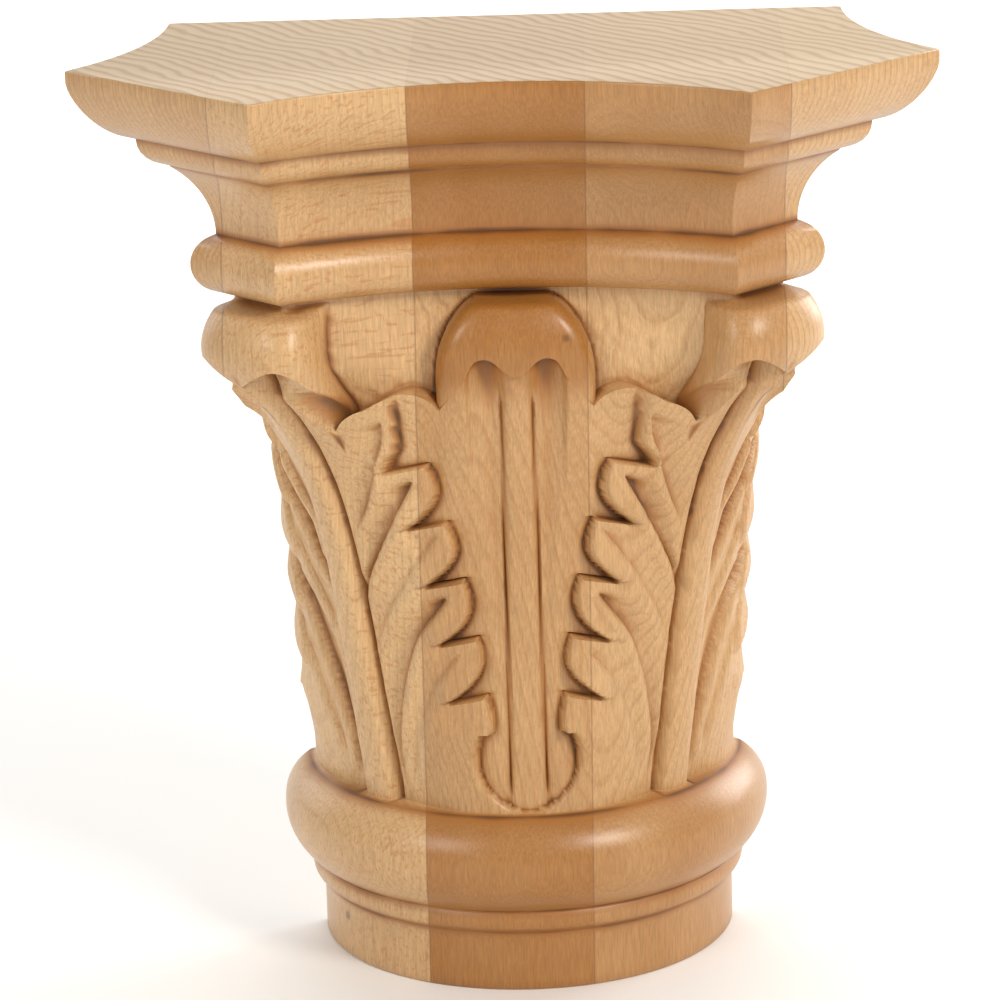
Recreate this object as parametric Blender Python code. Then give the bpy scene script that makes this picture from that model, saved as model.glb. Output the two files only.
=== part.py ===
"""Half-round acanthus capital, carved in one piece from a glued-up hardwood blank.

Metres, +Z up. The carved front faces -Y and the sawn flat back +Y. The origin is the
middle of the bounding box's underside, so the column's axis runs up the back's middle
line, at x = 0 and y = BACK_Y.
All working sizes below are millimetres and are turned to metres when the mesh is made.
"""
import math

import bmesh
import bpy
import numpy as np

# Driving dimensions, millimetres
WIDTH = 240.0
HEIGHT = 276.0
COLUMN_RADIUS = 61.3
METRES = 0.001

# Everything else grows with the width or with the height of the capital
WIDE = WIDTH / 240.0
TALL = HEIGHT / 276.0

# The sawn back and the column's axis lie half the depth behind the origin
BACK_Y = WIDTH / 4

# Abacus, a slab with hollow sides and cut-off corners, seen from above
TIP_REACH = WIDTH / 2
FRONT_HALF = 66.6 * WIDE
HOLLOW = 23.3 * WIDE
SIDE_RADIUS = (FRONT_HALF ** 2 + HOLLOW ** 2) / (2 * HOLLOW)
SIDE_CENTRE = TIP_REACH - HOLLOW + SIDE_RADIUS
CORNER_REACH = (TIP_REACH + FRONT_HALF) / math.sqrt(2)

# Abacus, levels and how far each moulding steps in from the slab's outline
SLAB_EDGE_Z = 272.5 * TALL
SLAB_UNDER_Z = 256.6 * TALL
SLAB_UNDER_IN = 13.8 * WIDE
STEP_UNDER_Z = 248.6 * TALL
STEP_UNDER_IN = 20.6 * WIDE
COVE_FOOT_Z = 228.0 * TALL
COVE_FOOT_IN = 30.8 * WIDE
COVE_CENTRE_IN = 7.6 * WIDE
COVE_RISE = 24.6 * TALL
BEAD_Z = 219.7 * TALL
BEAD_IN = 31.6 * WIDE
BEAD_PROUD = 6.9 * WIDE
BEAD_RISE = 8.2 * TALL
NECK_Z = 210.0 * TALL
NECK_IN = 34.2 * WIDE

# Base, turned round the column's axis
COLLAR_TOP_Z = 13.5 * TALL
BAND_FOOT_Z = 19.0 * TALL
BAND_TOP_Z = 25.6 * TALL
BAND_RADIUS = COLUMN_RADIUS + 3.4 * WIDE
TORUS_TOP_Z = 54.6 * TALL
TORUS_RADIUS = COLUMN_RADIUS + 11.0 * WIDE
TORUS_SEAT = COLUMN_RADIUS + 3.0 * WIDE

# Bell, the carved drum between the torus and the bead
BELL_FOOT_Z = TORUS_TOP_Z + 0.5 * TALL
BELL_FOOT_RADIUS = COLUMN_RADIUS + 0.1 * WIDE
CARVE_DRIFT_TOP = math.radians(1.2)
CARVE_DRIFT_FOOT = math.radians(2.2)

# Brow, the line where the head, the leaf tops and the curls end
BROW_Z = 187.0 * TALL

# Leaf edge: lobes one above the other, each ending in a cut notch
LOBE_COUNT = 6
LOBE_PITCH = 17.6 * TALL
FIRST_NOTCH_Z = 159.5 * TALL
NOTCH_DEEP = 11.0 * WIDE
LOBE_PROUD = 4.6 * WIDE
LOBE_LIFT = 0.24
EDGE_WALL = 1.3 * WIDE
EDGE_DIP = 0.5 * WIDE
NOTCH_STEP = 1.3 * WIDE
NOTCH_GAP = 0.4 * TALL
KEYHOLE_Z = 72.0 * TALL
KEYHOLE_HALF_WIDTH = 15.2 * WIDE
KEYHOLE_HALF_HEIGHT = 16.4 * TALL
KEYHOLE_JOIN_Z = KEYHOLE_Z + 8.0 * TALL

# Stem of the corner leaf and the cut veins
STEM_ANGLE = 45.0
STEM_SWEEP = 128.0
STEM_PROUD = 3.6 * WIDE
STEM_GROOVE = 1.6 * WIDE
VEIN_DEEP = 2.2 * WIDE

# Tongue between the corner leaves
RIB_ANGLE = 3.9
FLUTE_ANGLE = 9.6
LINE_DEEP = 1.2 * WIDE
FLUTE_DEEP = 1.9 * WIDE
HEAD_HALF_WIDTH = 21.0 * WIDE
HEAD_CENTRE_Z = 178.0 * TALL
HEAD_HALF_HEIGHT = 33.0 * TALL
HEAD_SIDE_ANGLE = 4.6
HEAD_BROW_Z = 193.0 * TALL
LIP_PROUD = 2.4 * WIDE

# Curl of the leaf tip under each corner of the bead
CURL_Z = 197.0 * TALL
CURL_CENTRE = 88.0 * WIDE
CURL_DEPTH = 24.5 * WIDE
CURL_HALF_WIDTH = 22.5 * WIDE
CURL_ABOVE = 13.5 * TALL
CURL_BELOW = 28.0 * TALL
CURL_FOOT_ANGLE = 33.2

# How finely the mesh is laid out
SIDE_STEPS = 8
BASE_STEPS = 40
MOULDING_STEPS = 6


def smooth(low, high, x):
    """A soft step from 0 at low to 1 at high; low may be the greater."""
    t = np.clip((x - low) / (high - low), 0.0, 1.0)
    return t * t * (3.0 - 2.0 * t)


def hump(centre, half_width, x):
    """A rounded hump of height 1, zero from half_width away."""
    t = np.clip(np.abs(x - centre) / half_width, 0.0, 1.0)
    return (1.0 - t * t) ** 2


def outline_corner(inset):
    """Half the front side, and its distance from the axis, for the outline moved in."""
    reach = (CORNER_REACH - inset) * math.sqrt(2)
    radius = SIDE_RADIUS + inset
    middle = reach - SIDE_CENTRE
    x = (middle + math.sqrt(2 * radius ** 2 - middle ** 2)) / 2
    return x, reach - x


def outline_radius(theta, inset):
    """Distance from the axis to the abacus outline moved in, in direction theta."""
    fold = np.abs(theta)
    fold = np.where(fold > math.pi / 4, math.pi / 2 - fold, fold)
    chamfer = (CORNER_REACH - inset) / np.cos(math.pi / 4 - fold)
    radius = SIDE_RADIUS + inset
    under = radius ** 2 - (SIDE_CENTRE * np.sin(fold)) ** 2
    hollow = SIDE_CENTRE * np.cos(fold) - np.sqrt(np.maximum(under, 0.0))
    return np.where(under > 0.0, np.minimum(hollow, chamfer), chamfer)


def tongue_radius(z):
    """Surface of the smooth tongue, which flares gently upward."""
    rise = (z - BELL_FOOT_Z) / TALL
    return BELL_FOOT_RADIUS + (0.02 * rise + 0.0006 * rise ** 2) * WIDE


def stem_radius(z):
    """Crest of the corner leaf's stem, which sweeps out under the corner."""
    rise = np.clip((z - BELL_FOOT_Z) / TALL, 0.0, STEM_SWEEP)
    sweep = 18.0 * (rise / STEM_SWEEP) ** 6
    return BELL_FOOT_RADIUS + (0.6 + 0.17 * rise + sweep) * WIDE


def leaf_height(z):
    """How far the leaf stands in front of the tongue; less at its foot."""
    rise = (z - BELL_FOOT_Z) / TALL
    return LOBE_PROUD * (0.35 + 0.65 * smooth(0.0, 26.0, rise))


def toward_corner(psi):
    """0 at the tongue, 1 at the stem, late and steep as the abacus outline is."""
    return np.sin(np.radians(2 * np.clip(psi, 0.0, STEM_ANGLE))) ** 3.5


def blade_radius(psi, z):
    """Surface of the leaf blade before lobes and veins are cut."""
    edge = tongue_radius(z) + leaf_height(z)
    corner = stem_radius(z) - STEM_PROUD
    return edge + (corner - edge) * toward_corner(psi)


def panel_radius(psi, z):
    """The lower layer, which the tongue and the panels beside its head share."""
    return blade_radius(psi, z) - leaf_height(z) * (1.0 + 0.15 * toward_corner(psi))


def pattern_radius(w):
    """Radius at which the pattern's arcs are measured."""
    return tongue_radius(w) + leaf_height(w)


def lobe_phase(w):
    """0 just under one notch, 1 at the next notch down."""
    turns = (FIRST_NOTCH_Z + LOBE_PITCH - w) / LOBE_PITCH
    return turns - np.floor(turns)


def tip_arc(w):
    """Arc of the lobe tips from the tongue's middle: they spread as the leaf rises."""
    rise = w / TALL - 85.0
    return (11.3 + 0.09 * rise + 0.0017 * rise * np.abs(rise)) * WIDE


def edge_arc(w):
    """Edge of the leaf, millimetres round the bell from the tongue's centre line."""
    phase = lobe_phase(w)
    bite = NOTCH_DEEP * smooth(0.40, 1.0, phase) ** 1.5
    scallop = tip_arc(w) + bite - 0.8 * WIDE * hump(0.3, 0.35, phase)
    tall = np.clip(1.0 - ((w - KEYHOLE_Z) / KEYHOLE_HALF_HEIGHT) ** 2, 0.02, 1.0)
    keyhole = KEYHOLE_HALF_WIDTH * np.sqrt(tall)
    share = np.clip((w - FIRST_NOTCH_Z) / (BROW_Z - FIRST_NOTCH_Z), 0.0, 1.0)
    top_lobe = 26.6 - 1.4 * share + 2.8 * smooth(0.30, 0.0, share)
    top_lobe = np.radians(top_lobe) * pattern_radius(w)
    arc = np.where(w < KEYHOLE_JOIN_Z, keyhole, scallop)
    return np.where(w > FIRST_NOTCH_Z, top_lobe, arc)


def vein_upper(w):
    """Upper vein: leaves the second lobe and runs down into the stem's groove."""
    return 38.8 - 14.2 * smooth(116.0 * TALL, 160.0 * TALL, w)


def vein_lower(w):
    """Lower vein: leaves the fourth lobe and runs down beside the stem's foot."""
    t = np.clip((122.0 * TALL - w) / (62.0 * TALL), 0.0, 1.0)
    return 17.6 + 15.4 * (1.0 - (1.0 - t) ** 2.4)


def ridge_upper(w):
    """Soft ridge under the top lobe, between its hollow and the next one."""
    return 38.0 - 10.5 * smooth(128.0 * TALL, 168.0 * TALL, w)


def stem_half_angle(w):
    """Half the stem's width, degrees: widest at its foot."""
    rise = np.clip((w - BELL_FOOT_Z) / (BROW_Z - BELL_FOOT_Z), 0.0, 1.0)
    half = (7.6 - 3.4 * rise) * WIDE
    return np.degrees(half / stem_radius(w))


def flute_edge(w):
    """Outer edge of the flute beside the tongue's rib, degrees."""
    return FLUTE_ANGLE - 3.4 * (1.0 - smooth(80.0 * TALL, 180.0 * TALL, w))


def head_half_angle(w):
    """Half the width of the tongue's round head, degrees."""
    tall = np.clip(1.0 - ((w - HEAD_CENTRE_Z) / HEAD_HALF_HEIGHT) ** 2, 0.0, 1.0)
    return np.degrees(HEAD_HALF_WIDTH * np.sqrt(tall) / pattern_radius(BROW_Z))


def brow_height(psi):
    """Height of the brow: the tongue's lip, panel and leaf tops, and the curl's rim."""
    knots = [0.0, 3.2, 6.5, 9.2, 10.8, 14.8, 20.5, 25.2, CURL_FOOT_ANGLE]
    level = [187.4, 189.4, 192.4, 190.2, 186.6, 181.0, 185.8, 182.8, 175.6]
    share = np.clip((STEM_ANGLE - psi) / (STEM_ANGLE - CURL_FOOT_ANGLE), 0.0, 1.0)
    arch = 193.0 - 17.4 * share ** 2.2
    return np.where(psi < CURL_FOOT_ANGLE, np.interp(psi, knots, level), arch) * TALL


def lift(psi, w):
    """How far a row leaves its level: it bends to the brow and to each lobe's top."""
    brow = brow_height(psi) - BROW_Z
    above = 1.0 - smooth(BROW_Z, NECK_Z - 1.0 * TALL, w)
    below = smooth(FIRST_NOTCH_Z, BROW_Z, w)
    bend = brow * np.where(w > BROW_Z, above, below)
    arc = np.radians(psi) * pattern_radius(w)
    tip = tip_arc(w)
    outward = np.clip(tip + NOTCH_DEEP - arc, 0.0, NOTCH_DEEP)
    from_middle = smooth(0.0, 0.6, arc / tip)
    lobes = smooth(82.0 * TALL, 88.0 * TALL, w) * (
        1.0 - smooth(FIRST_NOTCH_Z, FIRST_NOTCH_Z + 9.0 * TALL, w))
    return bend + LOBE_LIFT * outward * from_middle * lobes


def ground_radius(theta, z):
    """The plain bell behind the carving: column below, abacus outline above."""
    share = smooth(120.0 * TALL, NECK_Z - 8.0 * TALL, z)
    neck = outline_radius(theta, NECK_IN)
    hollow = 1.4 * WIDE * hump(196.0 * TALL, 14.0 * TALL, z)
    return tongue_radius(z) * (1.0 - share) + neck * share - hollow


def curl_radius(psi, z, ground):
    """The rolled leaf tip: an egg standing out from the bell under the corner."""
    turn = np.radians(STEM_ANGLE - psi)
    half_height = np.where(z > CURL_Z, CURL_ABOVE, CURL_BELOW)
    level = 1.0 - ((z - CURL_Z) / half_height) ** 2
    lean = (np.cos(turn) / CURL_DEPTH) ** 2 + (np.sin(turn) / CURL_HALF_WIDTH) ** 2
    half_way = CURL_CENTRE * np.cos(turn) / CURL_DEPTH ** 2
    under = half_way ** 2 - lean * ((CURL_CENTRE / CURL_DEPTH) ** 2 - level)
    reach = (half_way + np.sqrt(np.maximum(under, 0.0))) / lean
    return np.where(under > 0.0, np.maximum(reach, ground), ground)


def above_brow(psi, theta, w, z):
    """Ground with the tongue's head and the curl standing in front of it."""
    ground = ground_radius(theta, z)
    half = head_half_angle(w)
    fall = np.clip((z - HEAD_BROW_Z) / (NECK_Z + 1.0 * TALL - HEAD_BROW_Z), 0.0, 1.0)
    crown = tongue_radius(BROW_Z) + LIP_PROUD - 13.0 * WIDE * (1.0 - np.sqrt(1.0 - fall ** 2))
    inward = np.clip((half - psi) / HEAD_SIDE_ANGLE, 0.0, 1.0)
    roundness = (1.0 - (1.0 - inward) ** 2.4) ** (1.0 / 2.4)
    head = np.where(psi < half, ground + (crown - ground) * roundness, ground)
    surface = np.maximum(head, ground - 0.5 * WIDE)
    surface = np.where(psi > 22.0, curl_radius(psi, z, ground), surface)
    neck = outline_radius(theta, NECK_IN)
    fade = smooth(0.0, 2.6 * TALL, NECK_Z - z)
    return neck * (1.0 - fade) + surface * fade


def vein_cut(across, roll):
    """Section of a vein: a fine line, a soft hollow on the stem side, a roll below."""
    line = 0.8 * WIDE * np.exp(-(across / (0.9 * WIDE)) ** 2)
    hollow = VEIN_DEEP * hump(2.4 * WIDE, 5.2 * WIDE, across)
    return line + hollow - roll * WIDE * hump(-3.4 * WIDE, 3.6 * WIDE, across)


def tongue_surface(psi, w, z, edge):
    """The tongue's rib and flutes, and the panel beside them."""
    panel = panel_radius(psi, z)
    high = smooth(80.0 * TALL, 180.0 * TALL, w)
    line = LINE_DEEP * hump(RIB_ANGLE + 0.3, 0.9, psi)
    outer = flute_edge(w)
    middle = (RIB_ANGLE + outer) / 2 + 0.3
    flute = FLUTE_DEEP * (0.5 + 0.5 * high) * hump(middle, outer - middle + 0.9, psi)
    shoulder = LIP_PROUD * hump(12.6, 3.6, psi) * smooth(166.0 * TALL, BROW_Z, w)
    arc = np.radians(psi) * pattern_radius(w)
    beside = np.clip((edge - arc) / (6.0 * WIDE), 0.0, 1.0)
    return panel - line - flute + shoulder - EDGE_DIP * (1.0 - beside) ** 2


def leaf_surface(psi, w, z, edge, phase):
    """The leaf: lobes tilted like slates, veins, hollows and the rounded stem."""
    blade = blade_radius(psi, z)
    panel = panel_radius(psi, z)
    arc = np.radians(psi) * pattern_radius(w)
    past_notch = np.clip(arc - tip_arc(w) - NOTCH_DEEP, 0.0, None)
    lobes = smooth(74.0 * TALL, 84.0 * TALL, w) * (
        1.0 - smooth(FIRST_NOTCH_Z + 1.0 * TALL, FIRST_NOTCH_Z + 16.0 * TALL, w))
    tilt = NOTCH_STEP * (2.0 * smooth(0.0, 0.9, phase) - 1.0)
    tilt = tilt * np.exp(-past_notch / (4.5 * WIDE)) * lobes
    upper = np.radians(psi - vein_upper(w)) * blade
    upper_live = smooth(108.0 * TALL, 122.0 * TALL, w) * (
        1.0 - smooth(151.0 * TALL, 159.0 * TALL, w))
    lower = np.radians(psi - vein_lower(w)) * blade
    lower_live = smooth(57.0 * TALL, 68.0 * TALL, w) * (
        1.0 - smooth(114.0 * TALL, 122.0 * TALL, w))
    veins = vein_cut(upper, 0.9) * upper_live + vein_cut(lower, 0.9) * lower_live
    crest = np.radians(psi - ridge_upper(w)) * blade
    crest_live = smooth(122.0 * TALL, 140.0 * TALL, w)
    hollows = 1.5 * WIDE * hump(4.4 * WIDE, 4.6 * WIDE, crest) * crest_live
    hollows = hollows - 0.7 * WIDE * hump(0.0, 2.6 * WIDE, crest) * crest_live
    across = (STEM_ANGLE - psi) / stem_half_angle(w)
    stem = STEM_PROUD * np.sqrt(np.clip(1.0 - across ** 2, 0.0, 1.0))
    groove = STEM_GROOVE * hump(1.14, 0.5, across)
    leaf = blade + tilt - veins - hollows + stem - groove
    rounded = 1.0 - 0.30 * np.exp(-np.clip(arc - edge, 0.0, None) / (2.2 * WIDE))
    return panel + (leaf - panel) * rounded


def below_brow(psi, w, z, phase):
    """Tongue inside the leaf's edge, leaf outside it."""
    edge = edge_arc(w)
    arc = np.radians(psi) * pattern_radius(w)
    tongue = tongue_surface(psi, w, z, edge)
    leaf = leaf_surface(psi, w, z, edge, phase)
    return np.where(arc < edge, tongue, leaf)


def spread(start, stop, count):
    """Evenly spaced values after start, up to and including stop."""
    return [start + (stop - start) * (i + 1) / count for i in range(count)]


def squeeze_in(wanted, low, high):
    """The wanted angles in order, kept apart and kept between two others."""
    gap = (high - low) / (2 * len(wanted))
    placed = []
    last = low
    for i, want in enumerate(sorted(wanted)):
        last = min(max(want, last + gap), high - gap * (len(wanted) - i))
        placed.append(last)
    return placed


def brow_columns():
    """Pattern angles of one half-leaf's columns where the brow crosses them."""
    lip = [0.0, 3.2, 6.5, 9.2, 10.8, 13.2, 14.8, 20.5]
    edge = math.degrees(float(edge_arc(BROW_Z)) / pattern_radius(BROW_Z))
    lobe = [edge - 0.1, edge + 1.2, 28.3, 30.2, 31.9, CURL_FOOT_ANGLE, 35.4, 37.6]
    half = float(stem_half_angle(BROW_Z))
    stem = [STEM_ANGLE - half * k for k in (1.4, 1.0, 0.6, 0.0)]
    return np.array(lip + lobe + stem)


def above_columns(z):
    """Column angles above the brow: round the head, over the bell and the curl."""
    half = max(float(head_half_angle(z)), 7.5)
    head = [half * k for k in (0.0, 0.26, 0.50, 0.68, 0.82, 0.93, 1.0)]
    bell = [half + (29.4 - half) * k for k in (0.45, 0.85)]
    curl = [29.4, 30.2, 31.0, 32.0, 33.2, 34.9, 37.0, 39.2, 41.2, 43.1, STEM_ANGLE]
    return np.array(head + bell + curl)


def below_columns(w):
    """Column angles below the brow: along rib, flute, leaf edge, veins and stem."""
    degree = math.degrees(1.0 / pattern_radius(w))
    foot = (float(edge_arc(w)) - 0.05 * WIDE) * degree
    top = foot + EDGE_WALL * degree
    tip = float(tip_arc(w)) * degree
    outer = float(flute_edge(w))
    inner = RIB_ANGLE + 0.3
    rib = [RIB_ANGLE * 0.6] + [inner + (outer - inner) * k for k in (0.0, 0.3, 0.65, 1.0)]
    shrink = min(1.0, foot / (outer + 2.4))
    lines = [0.0] + [angle * shrink for angle in rib]
    bite = float(smooth(0.40, 0.9, lobe_phase(w))) if KEYHOLE_JOIN_Z < w else 0.0
    near_tip = min(tip, foot - 0.3)
    halfway = lines[-1] + (foot - lines[-1]) * 0.66
    halfway = halfway + (near_tip - halfway) * bite
    lines += [(lines[-1] + halfway) / 2, halfway, foot, top]
    half = float(stem_half_angle(w))
    stem_edge = STEM_ANGLE - half * 1.4
    veins = [float(vein_lower(w)) + k for k in (-2.6, 0.0, 1.8)]
    veins += [float(vein_upper(w)) + k for k in (-2.6, 0.0, 1.8)]
    lines += squeeze_in(veins, top, stem_edge)
    lines += [stem_edge, STEM_ANGLE - half * 1.0, STEM_ANGLE - half * 0.6, STEM_ANGLE]
    return np.array(lines)


def bell_rows():
    """Carved rows, top to bottom: level, side of the brow and lobe phase to use."""
    rows = [(w, "above", 0.0) for w in spread(NECK_Z + 1.6 * TALL, BROW_Z, 9)]
    start = BROW_Z - 0.7 * TALL
    rows.append((start, "below", 0.5))
    notch = FIRST_NOTCH_Z
    rows += [(w, "below", 0.5) for w in spread(start, notch + NOTCH_GAP, 5)]
    for lobe in range(LOBE_COUNT - 1):
        rows[-1] = (rows[-1][0], "below", 1.0)
        rows.append((notch - NOTCH_GAP, "below", 0.0))
        if lobe < LOBE_COUNT - 2:
            lower = notch - LOBE_PITCH + NOTCH_GAP
            rows += [(w, "below", None) for w in spread(notch - NOTCH_GAP, lower, 4)]
            notch = notch - LOBE_PITCH
    for share in (0.16, 0.30, 0.44, 0.60, 0.76, 0.87, 0.95, 1.0):
        w = notch - NOTCH_GAP + (BELL_FOOT_Z - notch + NOTCH_GAP) * share
        rows.append((w, "below", None))
    return rows


def bell_row(w, side, phase):
    """One carved row from the left end of the back round to the right end."""
    if side == "above":
        share = float(smooth(BROW_Z, BROW_Z + 9.0 * TALL, w))
        half_leaf = brow_columns() * (1.0 - share) + above_columns(w) * share
    else:
        share = float(smooth(BROW_Z, BROW_Z - 12.0 * TALL, w))
        half_leaf = brow_columns() * (1.0 - share) + below_columns(w) * share
    mirrored = half_leaf[::-1][1:]
    psi = np.concatenate([half_leaf, mirrored, half_leaf[1:], mirrored])
    quarter = np.concatenate([np.radians(half_leaf) - math.pi / 2, -np.radians(mirrored),
                              np.radians(half_leaf[1:]), math.pi / 2 - np.radians(mirrored)])
    drift = CARVE_DRIFT_FOOT + (CARVE_DRIFT_TOP - CARVE_DRIFT_FOOT) * w / BROW_Z
    theta = quarter + drift * np.cos(quarter)
    height = w + lift(psi, w)
    if side == "above":
        radius = above_brow(psi, theta, w, height)
    else:
        used = float(lobe_phase(w)) if phase is None else phase
        radius = below_brow(psi, w, height, used)
    return ring_points(theta, radius, height)


def ring_points(theta, radius, height):
    """Points round the axis in metres, with both ends exactly on the back plane."""
    x = radius * np.sin(theta)
    y = BACK_Y - radius * np.cos(theta)
    y[0] = BACK_Y
    y[-1] = BACK_Y
    return np.stack([x, y, height], 1) * METRES


def abacus_levels():
    """Inset and height down the abacus: slab, step, cove and bead."""
    levels = [(0.0, HEIGHT), (0.0, SLAB_EDGE_Z)]
    for i in range(1, MOULDING_STEPS):
        turn = math.pi / 2 * i / (MOULDING_STEPS - 1)
        levels.append((SLAB_UNDER_IN * (1 - math.cos(turn)) ** 0.75,
                       SLAB_EDGE_Z + (SLAB_UNDER_Z - SLAB_EDGE_Z) * math.sin(turn)))
    levels.append((SLAB_UNDER_IN + 0.3 * WIDE, SLAB_UNDER_Z - 0.4 * TALL))
    for i in range(1, 4):
        turn = math.pi / 2 * i / 3
        levels.append((SLAB_UNDER_IN + 0.3 * WIDE + (STEP_UNDER_IN - SLAB_UNDER_IN)
                       * (1 - math.cos(turn)),
                       STEP_UNDER_Z + (SLAB_UNDER_Z - 2.0 * TALL - STEP_UNDER_Z)
                       * (1 - math.sin(turn))))
    start = math.asin((STEP_UNDER_Z - 0.8 * TALL - COVE_FOOT_Z) / COVE_RISE)
    for i in range(MOULDING_STEPS):
        turn = start * (1 - i / (MOULDING_STEPS - 1))
        levels.append((COVE_CENTRE_IN + (COVE_FOOT_IN - COVE_CENTRE_IN) * math.cos(turn),
                       COVE_FOOT_Z + COVE_RISE * math.sin(turn)))
    for i in range(MOULDING_STEPS + 2):
        turn = math.radians(80.0 - 160.0 * i / (MOULDING_STEPS + 1))
        levels.append((BEAD_IN - BEAD_PROUD * math.cos(turn),
                       BEAD_Z + BEAD_RISE * math.sin(turn)))
    return levels


def abacus_row(inset, height):
    """One row of the abacus: hollow side, chamfer, hollow front, chamfer, side."""
    corner_x, corner_y = outline_corner(inset)
    corner = math.atan2(corner_x, corner_y)
    half_side = np.linspace(0.0, corner, SIDE_STEPS + 1)
    left = -math.pi / 2 + half_side
    front = np.linspace(-corner, corner, 2 * SIDE_STEPS + 1)
    theta = np.concatenate([left, front, -left[::-1]])
    return ring_points(theta, outline_radius(theta, inset), np.full(len(theta), height))


def base_levels():
    """Radius and height down the base: torus, band and collar."""
    bulge = TORUS_RADIUS - TORUS_SEAT
    half = (TORUS_TOP_Z - BAND_TOP_Z) / 2
    radius = (half ** 2 + bulge ** 2) / (2 * bulge)
    middle = (TORUS_TOP_Z + BAND_TOP_Z) / 2
    reach = math.asin(half / radius)
    levels = []
    for i in range(9):
        turn = reach * (1.0 - i / 4)
        levels.append((TORUS_RADIUS - radius * (1.0 - math.cos(turn)),
                       middle + radius * math.sin(turn)))
    levels.append((BAND_RADIUS - 0.3 * WIDE, BAND_TOP_Z - 0.8 * TALL))
    levels.append((BAND_RADIUS, (BAND_TOP_Z + BAND_FOOT_Z) / 2))
    levels.append((BAND_RADIUS - 0.5 * WIDE, BAND_FOOT_Z))
    levels.append((BAND_RADIUS - 1.7 * WIDE, BAND_FOOT_Z - 0.8 * TALL))
    levels.append((COLUMN_RADIUS + 0.4 * WIDE, (BAND_FOOT_Z + COLLAR_TOP_Z) / 2))
    levels.append((COLUMN_RADIUS, COLLAR_TOP_Z))
    levels.append((COLUMN_RADIUS, 0.0))
    return levels


def base_row(radius, height):
    """One turned row of the base."""
    theta = np.linspace(-math.pi / 2, math.pi / 2, BASE_STEPS + 1)
    return ring_points(theta, np.full(len(theta), radius), np.full(len(theta), height))


def add_ring(bm, points):
    """Vertices of one row."""
    return [bm.verts.new(point) for point in points]


def bearing(vertex):
    """Direction of a vertex from the column's axis, 0 at the front."""
    return math.atan2(vertex.co.x, BACK_Y * METRES - vertex.co.y)


def join_rows(bm, upper, lower):
    """A strip between two rows whose points stand at different angles."""
    i = 0
    j = 0
    angle = [bearing(vertex) for vertex in upper]
    other = [bearing(vertex) for vertex in lower]
    while i < len(upper) - 1 or j < len(lower) - 1:
        step_upper = j == len(lower) - 1 or (
            i < len(upper) - 1 and angle[i + 1] <= other[j + 1])
        if step_upper:
            bm.faces.new((upper[i], lower[j], upper[i + 1]))
            i += 1
        else:
            bm.faces.new((upper[i], lower[j], lower[j + 1]))
            j += 1


def join_grid(bm, rows):
    """Quads between rows with equal numbers of points, split the flatter way."""
    for upper, lower in zip(rows, rows[1:]):
        for k in range(len(upper) - 1):
            a, b, c, d = upper[k], lower[k], lower[k + 1], upper[k + 1]
            if (a.co - c.co).length <= (b.co - d.co).length:
                bm.faces.new((a, b, c))
                bm.faces.new((a, c, d))
            else:
                bm.faces.new((a, b, d))
                bm.faces.new((b, c, d))


def join_bell(bm, rows, levels):
    """Rows of the bell; the two rows of a notch are laid out apart, so they are zipped."""
    for upper, lower, level in zip(rows, rows[1:], levels[1:]):
        if level[2] == 0.0 and level[1] == "below":
            join_rows(bm, upper, lower)
        else:
            join_grid(bm, [upper, lower])


def close_back(bm, rows):
    """The sawn back: a ladder of flat faces between the rows' two ends."""
    for upper, lower in zip(rows, rows[1:]):
        bm.faces.new((upper[0], upper[-1], lower[-1], lower[0]))


def cap(bm, row, facing_up):
    """A flat face across a row; top face or underside."""
    ends_first = list(row) if facing_up else list(reversed(row))
    bm.faces.new(ends_first)


def build_capital():
    """The whole capital as one closed solid."""
    bm = bmesh.new()
    abacus = [add_ring(bm, abacus_row(*level)) for level in abacus_levels()]
    bell = [add_ring(bm, bell_row(*row)) for row in bell_rows()]
    base = [add_ring(bm, base_row(*level)) for level in base_levels()]
    join_grid(bm, abacus)
    join_rows(bm, abacus[-1], bell[0])
    join_bell(bm, bell, bell_rows())
    join_rows(bm, bell[-1], base[0])
    join_grid(bm, base)
    close_back(bm, abacus + bell + base)
    cap(bm, abacus[0], True)
    cap(bm, base[-1], False)
    bmesh.ops.triangulate(bm, faces=[f for f in bm.faces if len(f.verts) > 3])
    bmesh.ops.recalc_face_normals(bm, faces=bm.faces)
    mesh = bpy.data.meshes.new("capital")
    bm.to_mesh(mesh)
    bm.free()
    return bpy.data.objects.new("capital", mesh)


def wood_material():
    """Pale clear-finished hardwood."""
    wood = bpy.data.materials.new("wood")
    wood.use_nodes = True
    shader = wood.node_tree.nodes["Principled BSDF"]
    shader.inputs["Base Color"].default_value = (0.60, 0.37, 0.18, 1.0)
    shader.inputs["Roughness"].default_value = 0.45
    return wood


for old in list(bpy.data.objects):
    bpy.data.objects.remove(old)

collection = bpy.data.collections.new("acanthus_capital")
bpy.context.scene.collection.children.link(collection)
capital = build_capital()
capital.data.materials.append(wood_material())
collection.objects.link(capital)
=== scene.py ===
# %% [markdown]
# # A half-round acanthus capital, carved in beech
#
# A capital is the carved block on top of a column. This one is half round, so that it can be
# planted on a wall or a pilaster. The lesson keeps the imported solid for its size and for
# collision, and dresses it with one fine mesh that follows the same measures. The fine mesh
# adds what the solid leaves out: soft edges, gouge marks and rough ground.

import math

import bpy
import numpy as np
from mathutils import Matrix, Vector


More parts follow.
